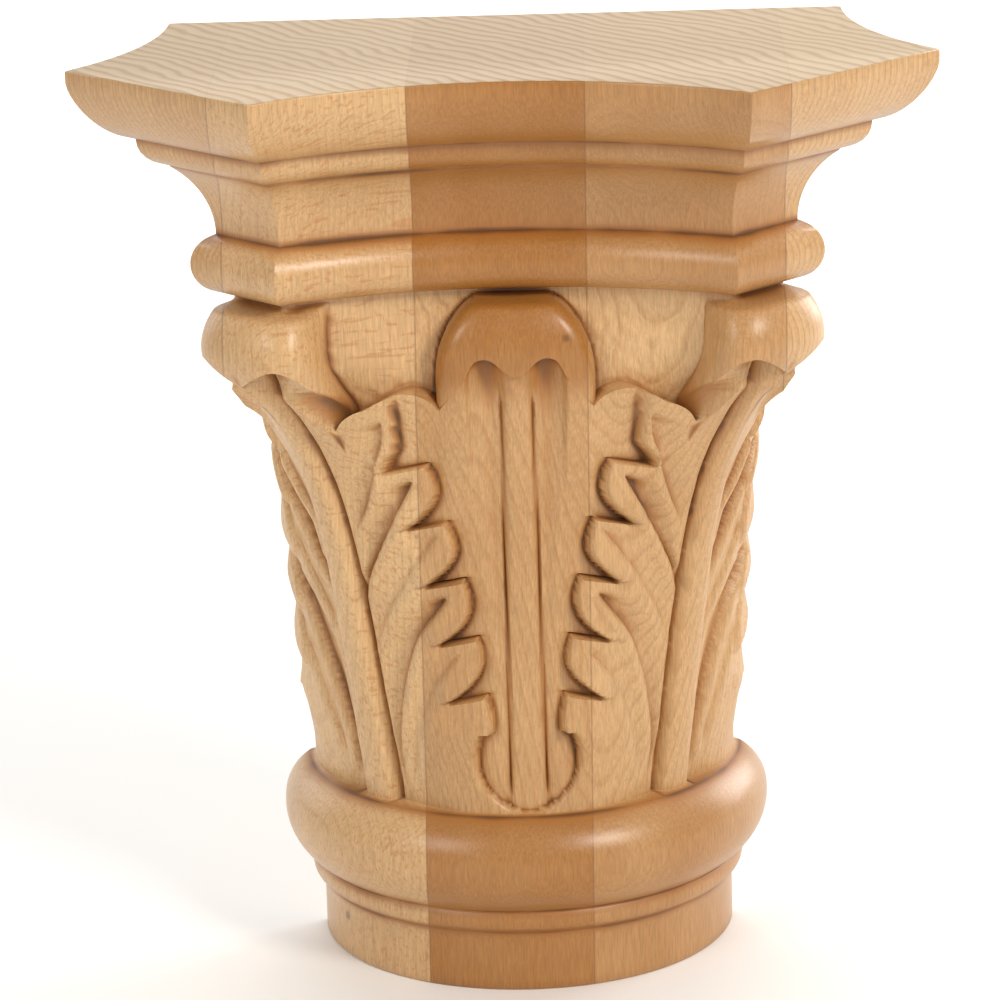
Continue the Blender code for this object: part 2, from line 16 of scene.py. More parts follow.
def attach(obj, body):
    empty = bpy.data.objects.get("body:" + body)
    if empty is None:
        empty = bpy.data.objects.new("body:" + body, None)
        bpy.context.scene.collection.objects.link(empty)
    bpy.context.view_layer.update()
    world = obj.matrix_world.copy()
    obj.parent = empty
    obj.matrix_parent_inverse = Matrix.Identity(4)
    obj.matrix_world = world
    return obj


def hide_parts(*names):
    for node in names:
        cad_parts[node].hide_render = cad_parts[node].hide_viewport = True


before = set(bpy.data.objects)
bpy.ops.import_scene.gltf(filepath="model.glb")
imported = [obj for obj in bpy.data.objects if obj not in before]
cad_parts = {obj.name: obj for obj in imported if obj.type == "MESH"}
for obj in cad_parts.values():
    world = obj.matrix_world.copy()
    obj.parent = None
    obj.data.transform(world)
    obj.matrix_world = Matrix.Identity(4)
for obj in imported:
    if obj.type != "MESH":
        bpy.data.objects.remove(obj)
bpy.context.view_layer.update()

# %% [markdown]
# ## The measures
#
# Everything is in millimetres until the mesh is made. The slab is 240 mm across, and the
# column under the capital is a little over 120 mm thick. WIDE and TALL are 1 here. They mark
# which sizes would grow with the width and which with the height.

# %% Driving sizes
WIDTH = 240.0
HEIGHT = 276.0
COLUMN_RADIUS = 61.3
METRES = 0.001
WIDE = WIDTH / 240.0
TALL = HEIGHT / 276.0
BACK_Y = WIDTH / 4


def smooth(low, high, x):
    """A soft step from 0 at low to 1 at high; low may be the greater."""
    t = np.clip((x - low) / (high - low), 0.0, 1.0)
    return t * t * (3.0 - 2.0 * t)


def hump(centre, half_width, x):
    """A rounded hump of height 1, zero from half_width away."""
    t = np.clip(np.abs(x - centre) / half_width, 0.0, 1.0)
    return (1.0 - t * t) ** 2


def through(x, knots, levels):
    """A smooth curve through a few points."""
    knots = np.array(knots, float)
    levels = np.array(levels, float)
    slope = np.gradient(levels, knots)
    k = np.clip(np.searchsorted(knots, x, side="right") - 1, 0, len(knots) - 2)
    span = knots[k + 1] - knots[k]
    t = np.clip((x - knots[k]) / span, 0.0, 1.0)
    value = levels[k] * (1 + 2 * t) * (1 - t) ** 2 + levels[k + 1] * t * t * (3 - 2 * t)
    return value + span * (slope[k] * t * (1 - t) ** 2 - slope[k + 1] * t * t * (1 - t))


def mottle(u, v, seed):
    """Smooth random hills over the plane u, v, from -1 to 1, one hill or so to a unit."""
    table = np.random.RandomState(seed).rand(64, 64) * 2.0 - 1.0
    iu = np.floor(u).astype(int)
    iv = np.floor(v).astype(int)
    fu = smooth(0.0, 1.0, u - iu)
    fv = smooth(0.0, 1.0, v - iv)
    low = table[iu % 64, iv % 64] * (1 - fu) + table[(iu + 1) % 64, iv % 64] * fu
    high = table[iu % 64, (iv + 1) % 64] * (1 - fu) + table[(iu + 1) % 64, (iv + 1) % 64] * fu
    return low * (1 - fv) + high * fv


# %% [markdown]
# ## The abacus
#
# The slab on top is square in idea, with four hollow sides and cut-off corners. Only half of
# it is made. Its outline is one circular arc for a hollow side and one straight chamfer, and
# every moulding below it is the same outline moved in, which is how a moulding plane or a
# router with a bearing would cut it. Moving the outline in keeps the mitres at the corners.

# %% The slab's outline
TIP_REACH = WIDTH / 2
FRONT_HALF = 66.6 * WIDE
HOLLOW = 23.3 * WIDE
SIDE_RADIUS = (FRONT_HALF ** 2 + HOLLOW ** 2) / (2 * HOLLOW)
SIDE_CENTRE = TIP_REACH - HOLLOW + SIDE_RADIUS
CORNER_REACH = (TIP_REACH + FRONT_HALF) / math.sqrt(2)


def outline_corner(inset):
    """Half the front side, and its distance from the axis, for the outline moved in."""
    reach = (CORNER_REACH - inset) * math.sqrt(2)
    radius = SIDE_RADIUS + inset
    middle = reach - SIDE_CENTRE
    x = (middle + math.sqrt(2 * radius ** 2 - middle ** 2)) / 2
    return x, reach - x


def outline_radius(theta, inset):
    """Distance from the axis to the outline moved in, in direction theta."""
    fold = np.abs(theta)
    fold = np.where(fold > math.pi / 4, math.pi / 2 - fold, fold)
    chamfer = (CORNER_REACH - inset) / np.cos(math.pi / 4 - fold)
    radius = SIDE_RADIUS + inset
    under = radius ** 2 - (SIDE_CENTRE * np.sin(fold)) ** 2
    hollow = SIDE_CENTRE * np.cos(fold) - np.sqrt(np.maximum(under, 0.0))
    return np.where(under > 0.0, np.minimum(hollow, chamfer), chamfer)


print("the slab's front side is", round(2 * FRONT_HALF), "mm long")

# %% The slab's mouldings, top to bottom
SLAB_EDGE_Z = 272.5 * TALL
SLAB_UNDER_Z = 256.6 * TALL
SLAB_UNDER_IN = 13.8 * WIDE
STEP_UNDER_Z = 248.6 * TALL
STEP_UNDER_IN = 20.6 * WIDE
COVE_FOOT_Z = 228.0 * TALL
COVE_FOOT_IN = 30.8 * WIDE
COVE_CENTRE_IN = 7.6 * WIDE
COVE_RISE = 24.6 * TALL
BEAD_Z = 219.7 * TALL
BEAD_IN = 31.6 * WIDE
BEAD_PROUD = 6.9 * WIDE
BEAD_RISE = 8.2 * TALL
NECK_Z = 210.0 * TALL
NECK_IN = 34.2 * WIDE
ARRIS = 0.5 * WIDE
SLAB_STEPS = 14
STEP_STEPS = 6
COVE_STEPS = 13
BEAD_STEPS = 15


def abacus_levels():
    """Inset and height down the abacus: arris, slab, step, cove and bead."""
    levels = [(ARRIS, HEIGHT), (ARRIS * 0.3, HEIGHT - ARRIS * 0.3), (0.0, HEIGHT - ARRIS)]
    levels += [(0.0, HEIGHT - 1.7 * TALL), (0.0, SLAB_EDGE_Z)]
    for i in range(1, SLAB_STEPS + 1):
        turn = math.pi / 2 * i / SLAB_STEPS
        levels.append((SLAB_UNDER_IN * (1 - math.cos(turn)) ** 0.75,
                       SLAB_EDGE_Z + (SLAB_UNDER_Z - SLAB_EDGE_Z) * math.sin(turn)))
    levels.append((SLAB_UNDER_IN + 0.3 * WIDE, SLAB_UNDER_Z - 0.4 * TALL))
    for i in range(STEP_STEPS + 1):
        turn = math.pi / 2 * i / STEP_STEPS
        levels.append((SLAB_UNDER_IN + 0.35 * WIDE + (STEP_UNDER_IN - SLAB_UNDER_IN)
                       * (1 - math.cos(turn)),
                       STEP_UNDER_Z + (SLAB_UNDER_Z - 0.9 * TALL - STEP_UNDER_Z)
                       * (1 - math.sin(turn))))
    start = math.asin((STEP_UNDER_Z - 0.8 * TALL - COVE_FOOT_Z) / COVE_RISE)
    for i in range(COVE_STEPS + 1):
        turn = start * (1 - i / COVE_STEPS)
        levels.append((COVE_CENTRE_IN + (COVE_FOOT_IN - COVE_CENTRE_IN) * math.cos(turn),
                       COVE_FOOT_Z + COVE_RISE * math.sin(turn)))
    for i in range(BEAD_STEPS + 1):
        turn = math.radians(80.0 - 160.0 * i / BEAD_STEPS)
        levels.append((BEAD_IN - BEAD_PROUD * math.cos(turn),
                       BEAD_Z + BEAD_RISE * math.sin(turn)))
    return levels


ABACUS_CREASES = [SLAB_UNDER_Z, STEP_UNDER_Z - 0.5 * TALL, COVE_FOOT_Z, NECK_Z + 1.0 * TALL]
print(len(abacus_levels()), "levels in the abacus")

# %% [markdown]
# ## The base
#
# Under the carving the block is turned on a lathe: a fat round moulding called a torus, a
# narrow band, a small hollow and the plain collar that meets the column.

# %% The base's mouldings
COLLAR_TOP_Z = 13.5 * TALL
BAND_FOOT_Z = 19.0 * TALL
BAND_TOP_Z = 25.6 * TALL
BAND_RADIUS = COLUMN_RADIUS + 3.4 * WIDE
TORUS_TOP_Z = 54.6 * TALL
TORUS_RADIUS = COLUMN_RADIUS + 11.0 * WIDE
TORUS_SEAT = COLUMN_RADIUS + 3.0 * WIDE


def base_levels():
    """Radius and height down the base: torus, band, hollow and collar."""
    bulge = TORUS_RADIUS - TORUS_SEAT
    half = (TORUS_TOP_Z - BAND_TOP_Z) / 2
    radius = (half ** 2 + bulge ** 2) / (2 * bulge)
    middle = (TORUS_TOP_Z + BAND_TOP_Z) / 2
    reach = math.asin(half / radius)
    levels = []
    for i in range(21):
        turn = reach * (1.0 - i / 10)
        levels.append((TORUS_RADIUS - radius * (1.0 - math.cos(turn)),
                       middle + radius * math.sin(turn)))
    levels.append((BAND_RADIUS - 0.5 * WIDE, BAND_TOP_Z - 0.5 * TALL))
    for i in range(7):
        turn = math.pi * (0.35 - 0.85 * i / 6)
        levels.append((BAND_RADIUS - 1.2 * WIDE * (1.0 - math.cos(turn)),
                       (BAND_TOP_Z + BAND_FOOT_Z) / 2 + 2.9 * TALL * math.sin(turn)))
    for i in range(6):
        turn = math.pi / 2 * i / 5
        levels.append((COLUMN_RADIUS + 1.8 * WIDE * (1.0 - math.sin(turn)),
                       COLLAR_TOP_Z + (BAND_FOOT_Z - 0.3 * TALL - COLLAR_TOP_Z) * math.cos(turn)))
    levels += [(COLUMN_RADIUS, COLLAR_TOP_Z * k) for k in (0.75, 0.5, 0.25)]
    levels += [(COLUMN_RADIUS, ARRIS), (COLUMN_RADIUS - ARRIS, 0.0)]
    return levels


BASE_CREASES = [TORUS_TOP_Z, BAND_TOP_Z, BAND_FOOT_Z - 0.8 * TALL]
print(len(base_levels()), "levels in the base")

# %% [markdown]
# ## The bell's plain form
#
# Between torus and bead stands the bell. It starts as wide as the column, and it swells until
# it meets the abacus outline at its neck. Two surfaces matter before any carving: the tongue,
# which stays nearly round, and the corner leaf, whose stem sweeps out under the corner.

# %% Surfaces of the bell
BELL_FOOT_Z = TORUS_TOP_Z + 0.5 * TALL
BELL_FOOT_RADIUS = COLUMN_RADIUS + 0.1 * WIDE
STEM_ANGLE = 45.0
STEM_SWEEP = 128.0
STEM_PROUD = 3.6 * WIDE
LOBE_PROUD = 4.6 * WIDE
BROW_Z = 187.0 * TALL


def tongue_radius(z):
    """Surface of the smooth tongue, which flares gently upward."""
    rise = (z - BELL_FOOT_Z) / TALL
    return BELL_FOOT_RADIUS + (0.02 * rise + 0.0006 * rise ** 2) * WIDE


def stem_radius(z):
    """Crest of the corner leaf's stem, which sweeps out under the corner."""
    rise = np.clip((z - BELL_FOOT_Z) / TALL, 0.0, STEM_SWEEP)
    sweep = 18.0 * (rise / STEM_SWEEP) ** 6
    return BELL_FOOT_RADIUS + (0.6 + 0.17 * rise + sweep) * WIDE


def leaf_height(z):
    """How far the leaf stands in front of the tongue; less at its foot."""
    rise = (z - BELL_FOOT_Z) / TALL
    return LOBE_PROUD * (0.35 + 0.65 * smooth(0.0, 26.0, rise))


def toward_corner(psi):
    """0 at the tongue, 1 at the stem, late and steep as the abacus outline is."""
    return np.sin(np.radians(2 * np.clip(psi, 0.0, STEM_ANGLE))) ** 3.5


def blade_radius(psi, z):
    """Surface of the leaf blade before lobes and veins are cut."""
    edge = tongue_radius(z) + leaf_height(z)
    corner = stem_radius(z) - STEM_PROUD
    return edge + (corner - edge) * toward_corner(psi)


def panel_radius(psi, z):
    """The lower layer, which the tongue and the panels beside its head share."""
    return blade_radius(psi, z) - leaf_height(z) * (1.0 + 0.15 * toward_corner(psi))


def pattern_radius(w):
    """Radius at which the pattern's arcs are measured."""
    return tongue_radius(w) + leaf_height(w)


def ground_radius(theta, z):
    """The plain bell behind the carving: column below, abacus outline above."""
    share = smooth(146.0 * TALL, NECK_Z - 2.0 * TALL, z)
    neck = outline_radius(theta, NECK_IN)
    hollow = 1.0 * WIDE * hump(200.0 * TALL, 10.0 * TALL, z)
    return tongue_radius(z) * (1.0 - share) + neck * share - hollow


# %% [markdown]
# ## Where the leaf's edge runs
#
# The carver sets out the same pattern eight times over a full capital, four times here. Its
# angle psi is 0 on the tongue's middle line and 45 on the stem of the corner leaf. The edge of
# the leaf is a row of lobes, one above the other. Each has a square shoulder on top and curves
# back to a notch below, and the lowest one closes round a keyhole at the tongue's foot.

# %% The edge of the leaf
LOBE_PITCH = 17.6 * TALL
FIRST_NOTCH_Z = 159.5 * TALL
NOTCH_DEEP = 11.0 * WIDE
LOBE_LIFT = 0.24
KEYHOLE_Z = 72.0 * TALL
KEYHOLE_HALF_WIDTH = 15.2 * WIDE
KEYHOLE_HALF_HEIGHT = 16.4 * TALL
KEYHOLE_JOIN_Z = KEYHOLE_Z + 8.0 * TALL
LOBES_END_Z = FIRST_NOTCH_Z - 4 * LOBE_PITCH
TIP_ARC = 11.3
TIP_ARC_RISE = 85.0
TIP_SPREAD = 0.09
TIP_SPREAD_GROWTH = 0.0017


def lobe_phase(w):
    """0 just under one notch, 1 at the next notch down."""
    turns = (FIRST_NOTCH_Z + LOBE_PITCH - w) / LOBE_PITCH
    return turns - np.floor(turns)


def tip_arc(w):
    """Arc of the lobe tips from the tongue's middle: they spread as the leaf rises."""
    rise = w / TALL - TIP_ARC_RISE
    return (TIP_ARC + TIP_SPREAD * rise + TIP_SPREAD_GROWTH * rise * np.abs(rise)) * WIDE


def edge_arc(w):
    """Edge of the leaf, millimetres round the bell from the tongue's centre line."""
    phase = lobe_phase(w)
    bite = NOTCH_DEEP * np.clip((phase - 0.45) / 0.55, 0.0, 1.0) ** 2.0
    scallop = tip_arc(w) + bite - 0.8 * WIDE * hump(0.3, 0.35, phase)
    tall = np.clip(1.0 - ((w - KEYHOLE_Z) / KEYHOLE_HALF_HEIGHT) ** 2, 0.003, 1.0)
    keyhole = KEYHOLE_HALF_WIDTH * np.sqrt(tall)
    share = np.clip((w - FIRST_NOTCH_Z) / (BROW_Z - FIRST_NOTCH_Z), 0.0, 1.0)
    top_lobe = 26.6 - 1.4 * share + 2.8 * smooth(0.30, 0.0, share)
    top_lobe = np.radians(top_lobe) * pattern_radius(w)
    arc = np.where(w < KEYHOLE_JOIN_Z, keyhole, scallop)
    return np.where(w > FIRST_NOTCH_Z, top_lobe, arc)


# %% [markdown]
# ## The brow
#
# One line runs across the whole front: the wavy lip of the tongue, the top of the panel beside
# it, the top of the leaf, and the rim of the curled leaf tip. Above it lie the plain ground,
# the tongue's round head and the curls. The rows of the mesh bend to follow this line, so it
# can be a clean step with an overhang under the curl.

# %% Height of the brow, and how the rows bend to it
LIP_END_ANGLE = 10.6
HEAD_EDGE_ANGLE = 16.8
CURL_FOOT_ANGLE = 35.4


def brow_height(psi):
    """Height of the brow: the tongue's lip, panel and leaf tops, and the curl's rim."""
    lip = through(psi, [0.0, 2.4, 4.7, 7.0, 9.2, LIP_END_ANGLE, 13.5, HEAD_EDGE_ANGLE],
                  [188.2, 190.0, 192.9, 193.6, 191.8, 188.0, 183.4, 178.4])
    panel = through(psi, [HEAD_EDGE_ANGLE, 17.8, 19.7, 22.1, 24.6, 26.5, 28.8, 31.0, 33.8,
                          CURL_FOOT_ANGLE],
                    [178.4, 180.4, 182.6, 183.9, 183.8, 182.8, 180.6, 179.3, 176.1, 173.2])
    arch = through(psi, [CURL_FOOT_ANGLE, 36.2, 37.1, 38.3, 39.4, 40.7, 42.1, 43.6, STEM_ANGLE],
                   [173.2, 176.0, 180.0, 185.0, 189.5, 193.0, 194.0, 191.5, 187.5])
    height = np.where(psi < HEAD_EDGE_ANGLE, lip, panel)
    return np.where(psi < CURL_FOOT_ANGLE, height, arch) * TALL


def lift(psi, w):
    """How far a row leaves its level: it bends to the brow and to each lobe's top."""
    brow = brow_height(psi) - BROW_Z
    above = 1.0 - smooth(BROW_Z, NECK_Z - 1.0 * TALL, w)
    below = smooth(FIRST_NOTCH_Z, BROW_Z, w)
    bend = brow * np.where(w > BROW_Z, above, below)
    arc = np.radians(psi) * pattern_radius(w)
    tip = tip_arc(w)
    outward = np.clip(tip + NOTCH_DEEP - arc, 0.0, NOTCH_DEEP)
    from_middle = smooth(0.0, 0.6, arc / tip)
    lobes = smooth(82.0 * TALL, 88.0 * TALL, w) * (
        1.0 - smooth(FIRST_NOTCH_Z, FIRST_NOTCH_Z + 9.0 * TALL, w))
    return bend + LOBE_LIFT * outward * from_middle * lobes


# %% [markdown]
# ## Above the brow
#
# The tongue ends in a head like a thumb, rounded over at its sides and top. The leaf tip under
# each corner rolls outward into a fat bulb. The bulb's foot is cut back under its side, so its
# section is laid out as a curve and not as one radius for each angle. Between them the ground
# was cleared with small gouges and never sanded, so it keeps short choppy marks.

# %% The tongue's head
HEAD_ANGLE = 18.2
HEAD_CENTRE_Z = 186.0 * TALL
HEAD_RISE = 26.0 * TALL
HEAD_SIDE = 7.5 * WIDE
HEAD_BROW_Z = 194.0 * TALL
LIP_PROUD = 2.4 * WIDE


def head_half_angle(z):
    """Half the width of the tongue's round head, degrees."""
    up = np.clip((z - HEAD_CENTRE_Z) / HEAD_RISE, 0.0, 1.0)
    return HEAD_ANGLE * (1.0 - up ** 2.3) ** (1.0 / 2.3)


def head_radius(psi, z, seat):
    """The head over whatever it sits on: round at its sides, falling over at its top."""
    fall = np.clip((z - HEAD_BROW_Z) / (NECK_Z + 2.0 * TALL - HEAD_BROW_Z), 0.0, 1.0)
    crown = tongue_radius(np.minimum(z, BROW_Z)) + LIP_PROUD
    crown = crown - 12.0 * WIDE * (1.0 - np.sqrt(1.0 - fall ** 2))
    inward = np.radians(head_half_angle(z) - psi) * pattern_radius(BROW_Z) / HEAD_SIDE
    roundness = (1.0 - (1.0 - np.clip(inward, 0.0, 1.0)) ** 2.6) ** (1.0 / 2.6)
    return np.where(inward > 0.0, seat + (crown - seat) * roundness, seat)


# %% The curl
CURL_Z = 197.0 * TALL
CURL_CREST = 111.2 * WIDE
CURL_ROUND = 10.5 * WIDE
CURL_BEHIND = 16.0 * WIDE
CURL_TOP = 17.5 * TALL
CURL_DROP = 24.0 * TALL
CURL_DROP_IN = 25.5 * WIDE
CURL_HALF_WIDTH = 19.2 * WIDE
CURL_SIDE_Z = 193.0 * TALL
CURL_SIDE_RISE = 26.0 * TALL
CURL_SQUARE = 2.0 / 2.3
FOOT_TURNS = (math.radians(-75.0), math.radians(60.0))
HALVINGS = 14


def curl_point(turn, z):
    """Pattern angle and radius of a point of the curl, turn radians from its widest place."""
    up = np.clip((z - CURL_Z) / CURL_TOP, 0.0, 0.98)
    down = np.clip((CURL_Z - z) / CURL_DROP, 0.0, 1.0)
    crest = CURL_CREST - CURL_TOP * WIDE * (1.0 - np.sqrt(1.0 - up ** 2))
    crest = crest - CURL_DROP_IN * down ** 2
    side = np.clip(1.0 - ((z - CURL_SIDE_Z) / CURL_SIDE_RISE) ** 2, 0.05, 1.0)
    depth = np.where(turn < 0.0, -CURL_BEHIND, CURL_ROUND)
    outward = crest - CURL_ROUND + depth * np.abs(np.sin(turn)) ** CURL_SQUARE
    beside = CURL_HALF_WIDTH * np.sqrt(side) * np.abs(np.cos(turn)) ** CURL_SQUARE
    return STEM_ANGLE - np.degrees(np.arctan2(beside, outward)), np.hypot(beside, outward)


def curl_section(psi, z):
    """The curl from its foot, where it meets the ground, round to its crest."""
    low = np.full(np.broadcast(psi, z).shape, FOOT_TURNS[0])
    high = np.full(low.shape, FOOT_TURNS[1])
    for _ in range(HALVINGS):
        middle = (low + high) / 2
        angle, radius = curl_point(middle, z)
        stands = radius > ground_radius(np.radians(angle), z)
        high = np.where(stands, middle, high)
        low = np.where(stands, low, middle)
    share = np.clip((psi - CURL_FOOT_ANGLE) / (STEM_ANGLE - CURL_FOOT_ANGLE), 0.0, 1.0)
    return curl_point(high + share * (math.pi / 2 - high), z)


# %% The ground, and all that stands above the brow
def ground_marks(theta, z):
    """Short gouge marks left where the ground was cleared."""
    along = theta * 80.0
    chops = mottle((along + 0.5 * z) / 1.5, (z - 0.4 * along) / 3.2, 11)
    return 0.30 * chops + 0.32 * mottle(along / 6.0, z / 5.0, 12)


def above_brow(psi, way, theta, z):
    """Ground with the tongue's head and the curl; the curl's foot is cut under its side."""
    curl_angle, curl = curl_section(psi, z)
    foot_angle = curl_section(CURL_FOOT_ANGLE + 0.0 * psi, z)[0]
    drawn = smooth(27.0, CURL_FOOT_ANGLE, psi) * (foot_angle - CURL_FOOT_ANGLE)
    moved = np.where(psi > CURL_FOOT_ANGLE, curl_angle - psi, drawn)
    moved = moved * smooth(0.0, 3.0 * TALL, NECK_Z - z)
    theta = theta + way * np.radians(moved)
    ground = ground_radius(theta, z) + ground_marks(theta, z)
    curl = np.maximum(curl, ground)
    surface = np.where(psi > CURL_FOOT_ANGLE, curl, head_radius(psi, z, ground))
    neck = outline_radius(theta, NECK_IN)
    fade = smooth(0.0, 2.6 * TALL, NECK_Z - z)
    return theta, neck * (1.0 - fade) + surface * fade


# %% [markdown]
# ## Below the brow
#
# Two layers meet at the leaf's edge. The tongue has a flat rib between two knife lines, with a
# flute on each side. The leaf has a rounded stem between two V cuts, and two long veins. Each
# vein is a sharp wall on the side of the lobes and a hollow that rises softly to the stem.

# %% Tongue: rib, knife lines and flutes
FLUTE_ANGLE = 10.2
LINE_DEEP = 1.6 * WIDE
LINE_HALF_WIDTH = 0.9 * WIDE
FLUTE_DEEP = 1.9 * WIDE
POCKET_DEEP = 2.6 * WIDE


def knife_arc(w):
    """Arc from the tongue's middle to the knife line beside the rib."""
    return (4.8 + 0.7 * smooth(180.0 * TALL, 62.0 * TALL, w)) * WIDE


def tongue_surface(psi, theta, w, z, edge):
    """The tongue's rib and flutes, the border round them and the panel beside them."""
    panel = panel_radius(psi, z)
    arc = np.radians(psi) * pattern_radius(w)
    knife = knife_arc(w)
    reach = smooth(185.0 * TALL, 178.0 * TALL, z) * smooth(57.0 * TALL, 66.0 * TALL, z)
    line = LINE_DEEP * reach * np.clip(1.0 - np.abs(arc - knife) / LINE_HALF_WIDTH, 0.0, 1.0)
    rib = 0.4 * WIDE * np.clip(1.0 - (arc / knife) ** 2, 0.0, 1.0)
    high = smooth(76.0 * TALL, 176.0 * TALL, w)
    outer = np.radians(FLUTE_ANGLE - 3.4 * (1.0 - high)) * pattern_radius(w)
    middle = knife + 0.4 * (outer - knife)
    flute = FLUTE_DEEP * (0.4 + 0.6 * high) * hump(middle, outer - middle + 0.8, arc)
    pocket = POCKET_DEEP * hump(6.2, 5.2, psi) * smooth(170.0 * TALL, 190.0 * TALL, z)
    head = head_radius(psi, z, panel) - panel
    border = np.maximum(head, 0.0) * smooth(LIP_END_ANGLE - 0.5, LIP_END_ANGLE + 0.5, psi)
    border = border * smooth(140.0 * TALL, 184.0 * TALL, z)
    beside = np.clip((edge - arc) / (5.0 * WIDE), 0.0, 1.0)
    foot = 0.8 * WIDE * (1.0 - beside) ** 2
    hand = 0.10 * mottle(theta * 70.0 / 3.0, z / 9.0, 41)
    return panel - line + rib - flute - pocket + border - foot + hand


# %% [markdown]
# Each lobe of the leaf has a hollow of its own, cut with one sweep of a gouge: it starts just
# under the lobe's top and runs down to the stem. Three of them are deep. The other two, under
# the third and the fifth lobe, are only a light pass of the tool.

# %% Paths of the hollows: height down the leaf, and pattern angle
FIRST_PATH = ([139.0, 148.0, 161.0, 172.0, 180.0], [38.6, 34.6, 30.4, 27.8, 26.8])
SECOND_PATH = ([116.0, 124.0, 130.0, 137.0, 147.0, 155.0], [40.0, 38.0, 35.6, 32.4, 27.6, 23.4])
THIRD_PATH = ([104.0, 112.0, 122.0, 132.0, 139.0], [38.5, 35.0, 29.6, 24.0, 18.6])
FOURTH_PATH = ([58.0, 74.0, 82.0, 97.0, 110.0, 120.0], [35.6, 35.4, 34.0, 30.4, 25.4, 18.0])
FIFTH_PATH = ([60.0, 72.0, 86.0, 97.0, 103.0], [31.5, 29.4, 25.4, 20.6, 15.4])


def vein(psi, w, blade, path, next_path, deep):
    """A hollow that runs to the next one: roll, sharp wall, and a floor that rises."""
    heights = np.array(path[0]) * TALL
    start = through(w, heights, path[1])
    stop = through(np.clip(w, next_path[0][0] * TALL, None), np.array(next_path[0]) * TALL,
                   next_path[1])
    along = np.radians(psi - start) * blade
    span = np.clip(np.radians(stop - start) * blade, 3.5 * WIDE, 11.0 * WIDE)
    wall = smooth(-0.35 * WIDE, 0.8 * WIDE, along)
    rise = 1.0 - smooth(0.12, 0.92, along / span)
    roll = 0.28 * deep * hump(-2.4 * WIDE, 3.2 * WIDE, along)
    live = smooth(heights[0] - 2.0 * TALL, heights[0] + 9.0 * TALL, w)
    live = live * (1.0 - smooth(heights[-1] - 1.5 * TALL, heights[-1] + 1.5 * TALL, w))
    return (deep * wall * rise - roll) * live


# %% Leaf: lobes, hollows and stem
GROOVE_PATH = ([50.0, 200.0], [39.6, 41.0])
HOLLOWS = [(FIRST_PATH, GROOVE_PATH, 1.9), (SECOND_PATH, FIRST_PATH, 2.9),
           (THIRD_PATH, GROOVE_PATH, 0.9), (FOURTH_PATH, THIRD_PATH, 2.6),
           (FIFTH_PATH, FOURTH_PATH, 0.8)]
STEM_CUT_DEEP = 1.9 * WIDE
STEM_CUT_WIDE = 1.5 * WIDE
HOOD_COVE_DEEP = 4.5 * WIDE
HOOD_COVE_TALL = 11.0 * TALL


def stem_half_angle(w):
    """Half the stem's width, degrees: widest at its foot."""
    rise = np.clip((w - BELL_FOOT_Z) / (BROW_Z - BELL_FOOT_Z), 0.0, 1.0)
    half = (6.6 - 2.2 * rise) * WIDE
    return np.degrees(half / stem_radius(w))


def leaf_surface(psi, theta, w, z, phase):
    """The leaf's face with everything that is cut into it."""
    blade = blade_radius(psi, z)
    arc = np.radians(psi) * pattern_radius(w)
    past_notch = np.clip(arc - tip_arc(w) - NOTCH_DEEP, 0.0, None)
    lobes = smooth(74.0 * TALL, 84.0 * TALL, w) * (
        1.0 - smooth(FIRST_NOTCH_Z + 1.0 * TALL, FIRST_NOTCH_Z + 16.0 * TALL, w))
    tilt = 1.2 * WIDE * (2.0 * smooth(0.0, 0.85, phase) - 1.0)
    tilt = tilt * (1.0 - smooth(0.0, 3.2 * WIDE, past_notch)) * lobes
    veins = sum(vein(psi, w, blade, path, next_path, deep * WIDE)
                for path, next_path, deep in HOLLOWS)
    half = stem_half_angle(w)
    across = (STEM_ANGLE - psi) / half
    stem = STEM_PROUD * np.sqrt(np.clip(1.0 - np.abs(across) ** 2.6, 0.0, 1.0))
    cut_width = STEM_CUT_WIDE / (np.radians(half) * blade)
    groove = STEM_CUT_DEEP * np.clip(1.0 - np.abs(across - 1.05) / cut_width, 0.0, 1.0)
    under = np.clip(1.0 + (z - brow_height(psi)) / HOOD_COVE_TALL, 0.0, 1.0) ** 1.9
    cove = HOOD_COVE_DEEP * under * smooth(CURL_FOOT_ANGLE, CURL_FOOT_ANGLE + 1.2, psi)
    hand = 0.20 * mottle(theta * 75.0 / 7.0, z / 13.0, 21)
    hand = hand + 0.07 * mottle(theta * 75.0 / 2.4, z / 6.0, 22)
    return blade + tilt - veins + stem - groove + cove + hand


def edge_wall(depth, roundover):
    """Share of the leaf's height at a depth inside its edge: a steep wall, then a roundover."""
    rounded = np.clip(depth / roundover, 0.0, 1.0)
    rounded = np.sqrt(1.0 - (1.0 - rounded) ** 2)
    return 0.62 * smooth(-0.25 * WIDE, 0.55 * WIDE, depth) + 0.38 * rounded


